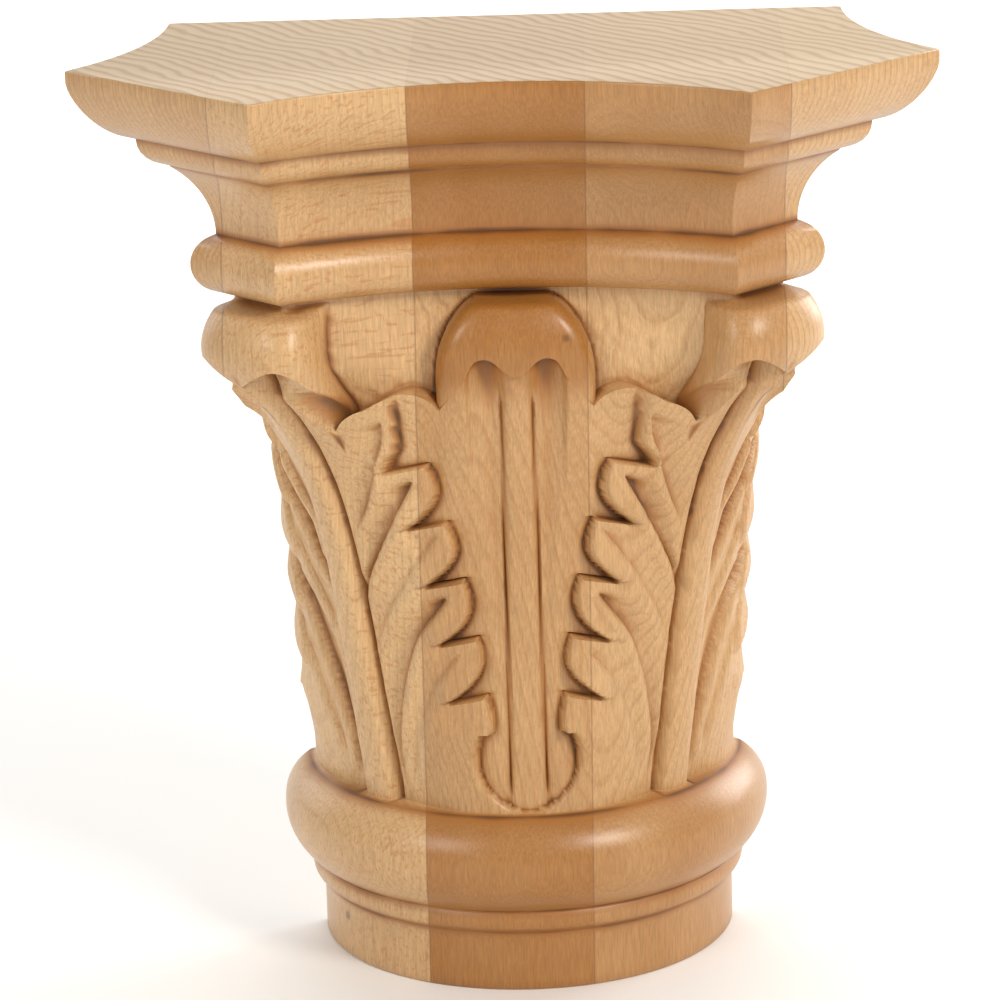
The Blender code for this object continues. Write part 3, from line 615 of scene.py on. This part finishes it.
def below_brow(psi, theta, w, z):
    """Tongue inside the leaf's edge, leaf outside it."""
    phase = lobe_phase(w)
    waver = 0.45 * WIDE * mottle(theta * 75.0 / 9.0, z / 7.0, 31)
    waver = waver * smooth(70.0 * TALL, 84.0 * TALL, w)
    arc = np.radians(psi) * pattern_radius(w) + waver
    edge = edge_arc(w)
    tongue = tongue_surface(psi, theta, w, z, edge)
    leaf = leaf_surface(psi, theta, w, z, phase)
    lobed = (w < FIRST_NOTCH_Z) & (w > LOBES_END_Z - 1.0 * TALL)
    body = edge_wall(arc - tip_arc(w) - NOTCH_DEEP, 2.2 * WIDE)
    top = smooth(0.0, 0.8 * TALL, phase * LOBE_PITCH)
    roundover = np.where(w > FIRST_NOTCH_Z, 3.0, 2.2) * WIDE
    ring = np.hypot(arc / KEYHOLE_HALF_WIDTH, (w - KEYHOLE_Z) / KEYHOLE_HALF_HEIGHT)
    inside = (ring - 1.0) * KEYHOLE_HALF_WIDTH
    lobe = edge_wall(np.where(w < KEYHOLE_JOIN_Z, inside, arc - edge), roundover)
    share = np.where(lobed, np.maximum(body, lobe * top), lobe)
    return tongue + (leaf - tongue) * share


# %% [markdown]
# ## From rows to one mesh
#
# A displacement texture could add this relief, but it couldn't make the step at the brow. Here
# the bell is laid out in rows of points instead, each point at its own radius. The rows lie
# close together at the notches, where the lobes' square tops are.

# %% Rows of the bell
CARVE_DRIFT_TOP = math.radians(1.2)
CARVE_DRIFT_FOOT = math.radians(2.2)
NOTCHES = [FIRST_NOTCH_Z - LOBE_PITCH * i for i in range(5)]


def half_leaf_angles():
    """Pattern angles from the tongue's middle to the stem, close together at the lobes."""
    return np.concatenate([np.linspace(0.0, 9.8, 15)[:-1], np.linspace(9.8, 11.4, 6)[:-1],
                           np.linspace(11.4, 31.0, 39)[:-1],
                           np.linspace(31.0, CURL_FOOT_ANGLE, 9)[:-1],
                           np.linspace(CURL_FOOT_ANGLE, STEM_ANGLE, 27)])


def row_levels():
    """Levels of the bell's rows, top to bottom, and which of them lie above the brow."""
    above = list(np.linspace(NECK_Z + 1.6 * TALL, BROW_Z, 44))
    below = [BROW_Z - 0.4 * TALL]
    while below[-1] > BELL_FOOT_Z:
        near = min(abs(below[-1] - notch + 0.4 * TALL) for notch in NOTCHES)
        below.append(below[-1] - (0.4 if near < 1.4 * TALL else 0.9) * TALL)
    below[-1] = BELL_FOOT_Z
    return above, below


def ring_points(theta, radius, height):
    """Points round the axis in millimetres, with both ends exactly on the back plane."""
    x = radius * np.sin(theta)
    y = BACK_Y - radius * np.cos(theta)
    y[..., 0] = BACK_Y
    y[..., -1] = BACK_Y
    return np.stack([x, y, height + np.zeros_like(x)], -1)


def bell_grid():
    """All rows of the bell at once: points and, for the finish, the radius of each."""
    half = half_leaf_angles()
    mirrored = half[::-1][1:]
    psi = np.concatenate([half, mirrored, half[1:], mirrored])[None, :]
    way = np.concatenate([np.ones(len(half)), -np.ones(len(mirrored)),
                          np.ones(len(half) - 1), -np.ones(len(mirrored))])[None, :]
    quarter = np.concatenate([np.radians(half) - math.pi / 2, -np.radians(mirrored),
                              np.radians(half[1:]), math.pi / 2 - np.radians(mirrored)])
    above, below = row_levels()
    grids = []
    for levels, surface in ((above, "above"), (below, "below")):
        w = np.array(levels)[:, None]
        drift = CARVE_DRIFT_FOOT + (CARVE_DRIFT_TOP - CARVE_DRIFT_FOOT) * w / BROW_Z
        theta = quarter[None, :] + drift * np.cos(quarter[None, :])
        height = w + lift(psi, w)
        if surface == "above":
            theta, radius = above_brow(psi, way, theta, height)
        else:
            radius = below_brow(psi, theta, w, height)
        inside_head = smooth(0.0, 1.0, head_half_angle(height) - psi)
        head = inside_head * smooth(176.0 * TALL, 190.0 * TALL, height)
        curl = 0.55 * smooth(CURL_FOOT_ANGLE - 0.2, CURL_FOOT_ANGLE + 0.6, psi)
        bare = smooth(-0.5, -1.5, head_half_angle(height) - psi) * smooth(35.6, 34.8, psi) * 0.75
        rubbed = np.maximum(head, curl) - bare if surface == "above" else 0.7 * head
        grids.append((ring_points(theta, radius, height), radius, rubbed + 0.0 * radius))
    return [np.concatenate([g[k] for g in grids]) for k in range(3)]


bell_points, bell_radii, bell_sanded = bell_grid()
print("bell:", bell_points.shape[0], "rows of", bell_points.shape[1], "points")

# %% [markdown]
# ## Creases for the finish and for painted shade
#
# Stain and finish gather where a rag can't reach, and dust with them. Shade falls in the same
# places, and the darkening drawn there is partly that finish and dust and partly painted shade.
# The mesh knows where that is: a point that lies deeper than the average of its neighbours sits
# in a crease. A second value says how smooth a point was left: 1 on sanded mouldings, below 0
# on bare ground. Both are stored on each point, and the material reads them later.

# %% How deep each point lies among its neighbours
def blurred(field, sigma):
    """The field averaged over its neighbours, with a bell-shaped weight."""
    reach = int(3 * sigma)
    weight = np.exp(-0.5 * (np.arange(-reach, reach + 1) / sigma) ** 2)
    weight = weight / weight.sum()
    for axis in (0, 1):
        pad = [(reach, reach) if a == axis else (0, 0) for a in (0, 1)]
        padded = np.pad(field, pad, mode="edge")
        size = field.shape[axis]
        parts = [weight[k] * np.take(padded, range(k, k + size), axis) for k in range(len(weight))]
        field = sum(parts)
    return field


def crease_values(radii):
    """0 on open surfaces and 1 in tight or deep corners."""
    fine = np.clip((blurred(radii, 1.5) - radii) / 0.7, 0.0, 1.0)
    broad = np.clip((blurred(radii, 4.0) - radii) / 3.0 - 0.1, 0.0, 1.0)
    return np.clip(0.62 * fine + 0.6 * broad, 0.0, 0.85)


def moulding_crease(height, creases):
    """1 at a moulding's inner corners, fading over a couple of millimetres."""
    return max(math.exp(-abs(height - crease) / (1.3 * TALL)) for crease in creases)


bell_creases = crease_values(bell_radii)
bell_creases = bell_creases * np.where(bell_sanded < -0.5, 0.5, 1.0)
print("mean crease on the bell:", round(float(bell_creases.mean()), 3))

# %% Rows of the abacus and of the base
SIDE_STEPS = 16
BASE_STEPS = 120


def abacus_angles(inset):
    """Directions of one abacus row: hollow side, chamfer, hollow front, chamfer, side."""
    corner_x, corner_y = outline_corner(inset)
    corner = math.atan2(corner_x, corner_y)
    side = np.linspace(0.0, corner, SIDE_STEPS + 1)
    chamfer = np.linspace(corner, math.pi / 2 - corner, 5)[1:-1]
    left = np.concatenate([side - math.pi / 2, chamfer - math.pi / 2])
    front = np.linspace(-corner, corner, 2 * SIDE_STEPS + 1)
    return np.concatenate([left, front, -left[::-1]])


abacus_rows = []
abacus_creases = []
for inset, height in abacus_levels():
    theta = abacus_angles(inset)
    radius = outline_radius(theta, inset)
    abacus_rows.append(ring_points(theta, radius, np.full(len(theta), height)))
    abacus_creases.append(np.full(len(theta), moulding_crease(height, ABACUS_CREASES)))
base_rows = []
base_creases = []
for radius, height in base_levels():
    theta = np.linspace(-math.pi / 2, math.pi / 2, BASE_STEPS + 1)
    base_rows.append(ring_points(theta, np.full(len(theta), radius),
                                 np.full(len(theta), height)))
    base_creases.append(np.full(len(theta), moulding_crease(height, BASE_CREASES)))
print("abacus:", len(abacus_rows), "rows; base:", len(base_rows), "rows")

# %% Join the rows into one closed mesh
def strip_faces(upper, lower):
    """Quads between two rows with as many points."""
    return [(upper[k], lower[k], lower[k + 1], upper[k + 1]) for k in range(len(upper) - 1)]


def zipped_faces(upper, lower, bearing):
    """Triangles between two rows whose points stand at different angles."""
    faces = []
    i = 0
    j = 0
    while i < len(upper) - 1 or j < len(lower) - 1:
        step_upper = j == len(lower) - 1 or (
            i < len(upper) - 1 and bearing[upper[i + 1]] <= bearing[lower[j + 1]])
        if step_upper:
            faces.append((upper[i], lower[j], upper[i + 1]))
            i += 1
        else:
            faces.append((upper[i], lower[j], lower[j + 1]))
            j += 1
    return faces


rows = abacus_rows + list(bell_points) + base_rows
creases = np.concatenate(abacus_creases + [bell_creases.ravel()] + base_creases)
sanded = np.concatenate([np.ones(sum(len(row) for row in abacus_rows)), bell_sanded.ravel(),
                         np.ones(sum(len(row) for row in base_rows))])
points = np.concatenate(rows)
bearing = np.arctan2(points[:, 0], BACK_Y - points[:, 1])
starts = np.cumsum([0] + [len(row) for row in rows])
indices = [list(range(starts[k], starts[k + 1])) for k in range(len(rows))]
faces = []
for upper, lower in zip(indices, indices[1:]):
    if len(upper) == len(lower):
        faces += strip_faces(upper, lower)
    else:
        faces += zipped_faces(upper, lower, bearing)
faces += [(u[0], u[-1], v[-1], v[0]) for u, v in zip(indices, indices[1:])]
faces.append(tuple(indices[0]))
faces.append(tuple(reversed(indices[-1])))
mesh = bpy.data.meshes.new("carved_capital")
mesh.from_pydata((points * METRES).tolist(), [], faces)
mesh.update()
triangles = sum(len(face) - 2 for face in faces)
print("one mesh of", len(points), "points and", triangles, "triangles")

# %% Hang the mesh on the frame
carving = bpy.data.objects.new("carved_capital", mesh)
bpy.context.scene.collection.objects.link(carving)
crease_layer = mesh.attributes.new("crease", "FLOAT", "POINT")
crease_layer.data.foreach_set("value", creases.astype(np.float32))
sanded_layer = mesh.attributes.new("sanded", "FLOAT", "POINT")
sanded_layer.data.foreach_set("value", sanded.astype(np.float32))
mesh.shade_smooth()
mesh.set_sharp_from_angle(angle=math.radians(52.0))
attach(carving, "root")
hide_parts("capital")
print("carving hangs on the frame:", [round(v, 4) for v in carving.dimensions])

# %% [markdown]
# ## Beech under a clear satin finish
#
# Beech is a pale pinkish brown hardwood with fine pores. Two things make it known at a glance.
# Its year rings are soft darker lines two or three millimetres apart. Its rays are thin sheets
# of cells that run out from the heart of the tree: seen from the side they are wavy shiny
# flecks, seen from the front they are short dark dashes. The block is glued up from upright
# staves, and each was cut from another part of the tree. So the material works out, for each
# stave, where the tree's heart was, and draws rings and rays round that line. Every surface
# then shows the figure that a cut in that direction would show, which no flat picture does.

# %% Colours and one way to add a node
def linear(hex_colour):
    """An sRGB hex colour as linear red, green, blue and full alpha."""
    parts = [int(hex_colour[k:k + 2], 16) / 255 for k in (1, 3, 5)]
    return [p / 12.92 if p <= 0.04045 else ((p + 0.055) / 1.055) ** 2.4 for p in parts] + [1.0]


def add(tree, kind, inputs=None, output=0, **settings):
    """Add one node with its settings and links, and return one of its outputs."""
    made = tree.nodes.new(kind)
    for name, value in settings.items():
        setattr(made, name, value)
    for socket, value in (inputs or {}).items():
        if isinstance(value, bpy.types.NodeSocket):
            tree.links.new(value, made.inputs[socket])
        else:
            made.inputs[socket].default_value = value
    return made.outputs[output]


BEECH_PALE = "#d8b280"
BEECH_RING = "#a8743f"
BEECH_RAY = "#b5763a"
STAVE_DEEP = "#a26c2f"
# The two crease colours are partly pooled finish and dust and partly painted shade; the brown also
# marks the knots.
CREASE_ORANGE = "#a3682e"
CREASE_BROWN = "#4e2d12"
GLUE_BROWN = "#6d4a2c"
SAWN_LIGHT = "#cdb795"
SAWN_DARK = "#a9865c"
print("open beech, linear:", [round(v, 3) for v in linear(BEECH_PALE)])

# %% Where each stave's joints and each stave's heart lie
GLUE_JOINTS = [-80.0 * WIDE, -27.0 * WIDE, 21.0 * WIDE, 76.0 * WIDE]
GLUE_LEAN = 0.012
HEART_X = [-150.0, -230.0, -95.0, 34.0, 20.0]
HEART_Y = [120.0, -48.0, 110.0, -24.0, -190.0]
HEART_LEAN = [0.05, 0.02, 0.09, -0.06, 0.03]
STAVE_TONE = [0.25, 0.08, 0.45, 0.30, 0.15]
SANDED_TONE = [0.1, 0.14, 0.50, 0.38, 0.1]
RING_SHARE = [0.42, 0.22, 0.38, 0.34, 0.42]
RAY_SHARE = [0.22, 0.42, 0.24, 0.30, 0.22]

beech = bpy.data.materials.new("beech_carved_satin")
beech.use_nodes = True
wood = beech.node_tree
shader = wood.nodes["Principled BSDF"]
place = add(wood, "ShaderNodeTexCoord", output="Object")
place = add(wood, "ShaderNodeVectorMath", {0: place, "Scale": 1.0 / METRES}, operation="SCALE")
split = add(wood, "ShaderNodeSeparateXYZ", {0: place}).node
along_y = split.outputs["Y"]
along_z = split.outputs["Z"]
leaning = add(wood, "ShaderNodeMath", {0: along_z, 1: -GLUE_LEAN, 2: GLUE_LEAN * HEIGHT / 2},
              operation="MULTIPLY_ADD")
across = add(wood, "ShaderNodeMath", {0: split.outputs["X"], 1: leaning}, operation="ADD")
past_joint = [add(wood, "ShaderNodeMath", {0: across, 1: joint}, operation="GREATER_THAN")
              for joint in GLUE_JOINTS]


def by_stave(values):
    """A value that is another one in each stave, left to right."""
    total = values[0]
    for step, before, after in zip(past_joint, values, values[1:]):
        total = add(wood, "ShaderNodeMath", {0: step, 1: after - before, 2: total},
                    operation="MULTIPLY_ADD")
    return total


def noise(spacing, **settings):
    """Noise with one hill or so to each spacing, millimetres along x, y and z."""
    scaled = add(wood, "ShaderNodeVectorMath", {0: place, 1: [1.0 / mm for mm in spacing]},
                 operation="MULTIPLY")
    return add(wood, "ShaderNodeTexNoise", {"Vector": scaled, "Scale": 1.0, **settings})


print(len(GLUE_JOINTS), "glue joints,", len(STAVE_TONE), "staves")

# %% [markdown]
# Rings first. The distance from the stave's heart, divided by the ring width, counts the
# rings. A slow noise, drawn out along the grain, makes them wander as real ones do. Inside a
# ring the wood darkens slowly and then stops at a fine line, where the tree's winter was.

# %% Year rings
RING_WIDTH = 2.1
RING_WANDER = 9.0
from_heart_x = add(wood, "ShaderNodeMath", {0: across, 1: by_stave(HEART_X)},
                   operation="SUBTRACT")
from_heart_y = add(wood, "ShaderNodeMath", {0: along_y, 1: by_stave(HEART_Y)},
                   operation="SUBTRACT")
wander = noise((42.0, 42.0, 170.0), Detail=2.0, Roughness=0.5)
flat_place = add(wood, "ShaderNodeCombineXYZ", {0: from_heart_x, 1: from_heart_y, 2: 0.0})
from_heart = add(wood, "ShaderNodeVectorMath", {0: flat_place}, "Value", operation="LENGTH")
leaning_heart = add(wood, "ShaderNodeMath", {0: along_z, 1: by_stave(HEART_LEAN),
                                             2: from_heart}, operation="MULTIPLY_ADD")
wandering = add(wood, "ShaderNodeMath", {0: wander, 1: RING_WANDER, 2: leaning_heart},
                operation="MULTIPLY_ADD")
rings = add(wood, "ShaderNodeMath", {0: wandering, 1: RING_WIDTH}, operation="DIVIDE")
in_ring = add(wood, "ShaderNodeMath", {0: rings}, operation="FRACT")
ring_line = add(wood, "ShaderNodeValToRGB", {0: in_ring})
ring_stops = ring_line.node.color_ramp.elements
ring_stops[0].color = (0.0, 0.0, 0.0, 1.0)
ring_stops[1].position = 0.60
ring_stops[1].color = (0.18, 0.18, 0.18, 1.0)
for stop, level in ((0.86, 1.0), (0.93, 0.75), (1.0, 0.0)):
    ring_stops.new(stop).color = (level, level, level, 1.0)
print("rings every", RING_WIDTH, "mm")

# %% [markdown]
# Rays next. They are a noise in round coordinates about the heart: very thin round the ring,
# long outward and little more than a millimetre tall. Cut one way the same cells give bands,
# cut the other way they give dashes.

# %% Rays
RAY_THICK = 0.6
RAY_LONG = 15.0
RAY_TALL = 1.3
USUAL_HEART_DISTANCE = 170.0
turn = add(wood, "ShaderNodeMath", {0: from_heart_x, 1: from_heart_y}, operation="ARCTAN2")
round_steady = add(wood, "ShaderNodeMath", {0: turn, 1: USUAL_HEART_DISTANCE / RAY_THICK},
                   operation="MULTIPLY")
outward = add(wood, "ShaderNodeMath", {0: wandering, 1: RAY_LONG}, operation="DIVIDE")
upward = add(wood, "ShaderNodeMath", {0: along_z, 1: RAY_TALL}, operation="DIVIDE")
ray_place = add(wood, "ShaderNodeCombineXYZ", {0: round_steady, 1: outward, 2: upward})
ray_cells = add(wood, "ShaderNodeTexNoise", {"Vector": ray_place, "Scale": 1.0, "Detail": 1.0,
                                             "Roughness": 0.4, "Distortion": 0.25})
rays = add(wood, "ShaderNodeMapRange", {0: ray_cells, 1: 0.55, 2: 0.68},
           interpolation_type="SMOOTHSTEP")
fibres = noise((0.5, 0.5, 6.0), Detail=3.0, Roughness=0.6)
print("rays", RAY_THICK, "mm thick,", RAY_LONG, "mm long and", RAY_TALL, "mm tall")

# %% Colour of the open wood
blotch = noise((26.0, 26.0, 60.0), Detail=2.0)
tone = add(wood, "ShaderNodeMath", {0: blotch, 1: 0.55, 2: -0.27}, operation="MULTIPLY_ADD")
sanded_wood = add(wood, "ShaderNodeAttribute", output="Fac", attribute_name="sanded")
tone = add(wood, "ShaderNodeMath", {0: sanded_wood, 1: by_stave(SANDED_TONE), 2: tone},
           operation="MULTIPLY_ADD")
tone = add(wood, "ShaderNodeMath", {0: tone, 1: by_stave(STAVE_TONE)}, operation="ADD",
           use_clamp=True)
colour = add(wood, "ShaderNodeMix", {"Factor": tone, 6: linear(BEECH_PALE),
                                     7: linear(STAVE_DEEP)}, 2, data_type="RGBA")
ring_share = add(wood, "ShaderNodeMath", {0: ring_line, 1: by_stave(RING_SHARE)},
                 operation="MULTIPLY")
ray_share = add(wood, "ShaderNodeMath", {0: rays, 1: by_stave(RAY_SHARE)},
                operation="MULTIPLY")
for share, tint in ((ring_share, BEECH_RING), (ray_share, BEECH_RAY)):
    colour = add(wood, "ShaderNodeMix", {"Factor": share, 6: colour, 7: linear(tint)}, 2,
                 data_type="RGBA")
fibre_shade = add(wood, "ShaderNodeMapRange", {0: fibres, 1: 0.3, 2: 0.7, 3: 0.80, 4: 1.12})
colour = add(wood, "ShaderNodeVectorMath", {0: colour, "Scale": fibre_shade},
             operation="SCALE")
print("open wood from", BEECH_PALE, "to", STAVE_DEEP)

# %% [markdown]
# Then what making and age added, and painted shade. Glue joints are hairlines. The finish pooled
# and browned in the creases, and the same darkening is painted shade where light doesn't reach.
# The top and the back were left as the saw cut them, dry and paler, with slanting ripples. Two
# small knots and a pit sit where the real block has them.

# %% Glue, creases, sawn faces and knots
GLUE_HALF_WIDTH = 0.22
glue = None
for joint in GLUE_JOINTS:
    line = add(wood, "ShaderNodeMath", {0: across, 1: joint, 2: GLUE_HALF_WIDTH},
               operation="COMPARE")
    glue = line if glue is None else add(wood, "ShaderNodeMath", {0: glue, 1: line},
                                         operation="ADD")
glue = add(wood, "ShaderNodeMath", {0: glue, 1: 0.42}, operation="MULTIPLY")
crease = add(wood, "ShaderNodeAttribute", output="Fac", attribute_name="crease")
patchy = add(wood, "ShaderNodeMapRange", {0: blotch, 1: 0.35, 2: 0.65, 3: 0.6, 4: 1.15})
crease = add(wood, "ShaderNodeMath", {0: crease, 1: patchy}, operation="MULTIPLY")
# Painted shade: the crease value darkens hollows to orange and then to deep brown. This is partly
# the real finish and dust and partly shade painted into the colour.
stain_and_shade = add(wood, "ShaderNodeMapRange", {0: crease, 1: 0.05, 2: 0.55, 4: 0.75},
              interpolation_type="SMOOTHSTEP")
dust_and_shade = add(wood, "ShaderNodeMapRange", {0: crease, 1: 0.45, 2: 0.95, 4: 0.75},
            interpolation_type="SMOOTHSTEP")
for share, tint in ((glue, GLUE_BROWN), (stain_and_shade, CREASE_ORANGE), (dust_and_shade, CREASE_BROWN)):
    colour = add(wood, "ShaderNodeMix", {"Factor": share, 6: colour, 7: linear(tint)}, 2,
                 data_type="RGBA")
SAWN_SKIN = 0.12
KNOTS = [(-65.6, -49.3, 261.6, 1.3), (-53.4, 30.0, 12.5, 2.0), (15.8, -14.3, 198.8, 1.7)]
for x, y, z, size in KNOTS:
    away = add(wood, "ShaderNodeVectorMath", {0: place, 1: (x, y, z)}, "Value",
               operation="DISTANCE")
    knot = add(wood, "ShaderNodeMapRange", {0: away, 1: size, 2: size * 0.3, 4: 0.6},
               interpolation_type="SMOOTHSTEP")
    colour = add(wood, "ShaderNodeMix", {"Factor": knot, 6: colour, 7: linear(CREASE_BROWN)},
                 2, data_type="RGBA")
sawn_top = add(wood, "ShaderNodeMath", {0: along_z, 1: HEIGHT - SAWN_SKIN}, operation="GREATER_THAN")
sawn_back = add(wood, "ShaderNodeMath", {0: along_y, 1: BACK_Y - SAWN_SKIN},
                operation="GREATER_THAN")
sawn = add(wood, "ShaderNodeMath", {0: sawn_top, 1: sawn_back}, operation="MAXIMUM")
SAW_STEP = 4.8
SAW_TURN = 0.927
saw_place = add(wood, "ShaderNodeMapping", {"Vector": place, "Rotation": (0.0, 0.0, SAW_TURN)})
saw_split = add(wood, "ShaderNodeSeparateXYZ", {0: saw_place}).node
saw_run = add(wood, "ShaderNodeMath", {0: along_z, 1: saw_split.outputs["Y"]}, operation="ADD")
saw_wave = add(wood, "ShaderNodeMath", {0: wander, 1: 14.0, 2: saw_run},
               operation="MULTIPLY_ADD")
saw_wave = add(wood, "ShaderNodeMath", {0: blotch, 1: 7.0, 2: saw_wave},
               operation="MULTIPLY_ADD")
saw_wave = add(wood, "ShaderNodeMath", {0: saw_wave, 1: 2 * math.pi / SAW_STEP},
               operation="MULTIPLY")
saw_wave = add(wood, "ShaderNodeMath", {0: saw_wave}, operation="SINE")
streak = add(wood, "ShaderNodeMapRange", {0: saw_wave, 1: -0.2, 2: 1.0, 4: 0.75})
streak = add(wood, "ShaderNodeMath", {0: streak, 1: fibre_shade}, operation="MULTIPLY")
calmer = add(wood, "ShaderNodeMath", {0: sawn_back, 1: -0.65, 2: 1.0},
             operation="MULTIPLY_ADD")
streak = add(wood, "ShaderNodeMath", {0: streak, 1: calmer}, operation="MULTIPLY")
sawn_wood = add(wood, "ShaderNodeMix", {"Factor": streak, 6: linear(SAWN_LIGHT),
                                        7: linear(SAWN_DARK)}, 2, data_type="RGBA")
dry = add(wood, "ShaderNodeMath", {0: sawn, 1: 0.82}, operation="MULTIPLY")
colour = add(wood, "ShaderNodeMix", {"Factor": dry, 6: colour, 7: sawn_wood}, 2,
             data_type="RGBA")
print(len(KNOTS), "knots and pits")

# %% Relief too fine for the mesh, and the finish
SAW_RELIEF = 0.09
BUMP_RELIEF = 0.06
FIBRE_RELIEF = 0.9
CHIP_RELIEF = -4.5
saw_height = add(wood, "ShaderNodeMath", {0: saw_wave, 1: sawn}, operation="MULTIPLY")
fibre_height = add(wood, "ShaderNodeMath", {0: fibres, 1: FIBRE_RELIEF}, operation="MULTIPLY")
height = add(wood, "ShaderNodeMath", {0: saw_height, 1: SAW_RELIEF / BUMP_RELIEF, 2: fibre_height},
             operation="MULTIPLY_ADD")
chips = noise((1.5, 1.5, 2.6), Detail=3.0, Roughness=0.6)
bare = add(wood, "ShaderNodeMath", {0: sanded_wood, 1: CHIP_RELIEF}, operation="MULTIPLY")
bare = add(wood, "ShaderNodeMath", {0: bare, 1: 0.0}, operation="MAXIMUM")
height = add(wood, "ShaderNodeMath", {0: chips, 1: bare, 2: height}, operation="MULTIPLY_ADD")
bump = add(wood, "ShaderNodeBump", {"Strength": 1.0, "Distance": BUMP_RELIEF * METRES,
                                    "Height": height})
dull = add(wood, "ShaderNodeMapRange", {0: crease, 3: 0.40, 4: 0.62})
rough = add(wood, "ShaderNodeMath", {0: fibres, 1: 0.10, 2: dull}, operation="MULTIPLY_ADD")
rough = add(wood, "ShaderNodeMath", {0: sanded_wood, 1: -0.10, 2: rough},
            operation="MULTIPLY_ADD")
rough = add(wood, "ShaderNodeMath", {0: sawn, 1: 0.35, 2: rough}, operation="MULTIPLY_ADD",
            use_clamp=True)
wood.links.new(colour, shader.inputs["Base Color"])
wood.links.new(rough, shader.inputs["Roughness"])
wood.links.new(bump, shader.inputs["Normal"])
shader.inputs["IOR"].default_value = 1.5
shader.inputs["Coat Weight"].default_value = 0.22
shader.inputs["Coat Roughness"].default_value = 0.28
shader.inputs["Coat IOR"].default_value = 1.5
mesh.materials.append(beech)
print("beech has", len(wood.nodes), "nodes")

# %% [markdown]
# ## Floor, light and camera
#
# The object was photographed on white, with one broad light at the upper right, a weaker one
# at the upper left, and bright surroundings that rim both sides. A pale floor and a pale world
# give the surroundings, and area lights give the rest.

# %% The floor
def stage_sheet(name, hex_colour, corners):
    """A plain sheet that isn't part of the object."""
    sheet_mesh = bpy.data.meshes.new(name)
    sheet_mesh.from_pydata(corners, [], [tuple(range(len(corners)))])
    sheet = bpy.data.objects.new(name, sheet_mesh)
    bpy.context.scene.collection.objects.link(sheet)
    paper = bpy.data.materials.new(name + "_paper")
    paper.use_nodes = True
    face = paper.node_tree.nodes["Principled BSDF"]
    face.inputs["Base Color"].default_value = linear(hex_colour)
    face.inputs["Roughness"].default_value = 0.9
    sheet_mesh.materials.append(paper)
    return sheet


FLOOR_REACH = 6.0
stage_sheet("floor", "#f6f5f3", [(x * FLOOR_REACH, y * FLOOR_REACH, 0.0)
                                 for x, y in ((-1, -1), (1, -1), (1, 1), (-1, 1))])
print("floor reaches", FLOOR_REACH, "m each way")

# %% The lights
def area_light(name, place, aim, size, watts, hex_colour):
    """A soft square light at a place, turned to a point."""
    lamp = bpy.data.lights.new(name, "AREA")
    lamp.size = size
    lamp.energy = watts
    lamp.color = linear(hex_colour)[:3]
    holder = bpy.data.objects.new(name, lamp)
    holder.location = place
    holder.rotation_euler = (Vector(aim) - Vector(place)).to_track_quat("-Z", "Y").to_euler()
    bpy.context.scene.collection.objects.link(holder)
    return holder


AIM = (0.0, 0.0, HEIGHT / 2 * METRES)
area_light("key", (1.15, -1.25, 1.15), AIM, 0.5, 21.0, "#fff7ec")
area_light("fill", (-1.2, -1.3, 1.0), AIM, 0.6, 9.5, "#fffaf4")
area_light("rim_left", (-1.1, 0.9, 0.5), AIM, 0.7, 2.5, "#ffffff")
area_light("rim_right", (1.1, 0.9, 0.5), AIM, 0.7, 10.0, "#ffffff")
area_light("floor_light", (0.0, 2.3, 1.5), (0.0, 2.3, 0.0), 2.2, 50.0, "#ffffff")
world = bpy.data.worlds.new("white_studio")
bpy.context.scene.world = world
world.use_nodes = True
world.node_tree.nodes["Background"].inputs["Color"].default_value = linear("#ffffff")
world.node_tree.nodes["Background"].inputs["Strength"].default_value = 0.45
bpy.context.scene.view_settings.view_transform = "Standard"
print("five area lights and a white world")

# %% The camera, at the photograph's angle
lens = bpy.data.cameras.new("camera")
lens.lens = 175.34
lens.sensor_width = 36.0
camera = bpy.data.objects.new("camera", lens)
camera.matrix_world = Matrix((
    (0.9995144, 0.0238136, 0.0200955, 0.0235928),
    (0.0126184, 0.2803338, -0.9598196, -1.3218392),
    (-0.0284902, 0.9596071, 0.2798972, 0.5338386),
    (0.0, 0.0, 0.0, 1.0)))
bpy.context.scene.collection.objects.link(camera)
bpy.context.scene.camera = camera
print("camera", round((camera.location - Vector(AIM)).length, 3), "m away")
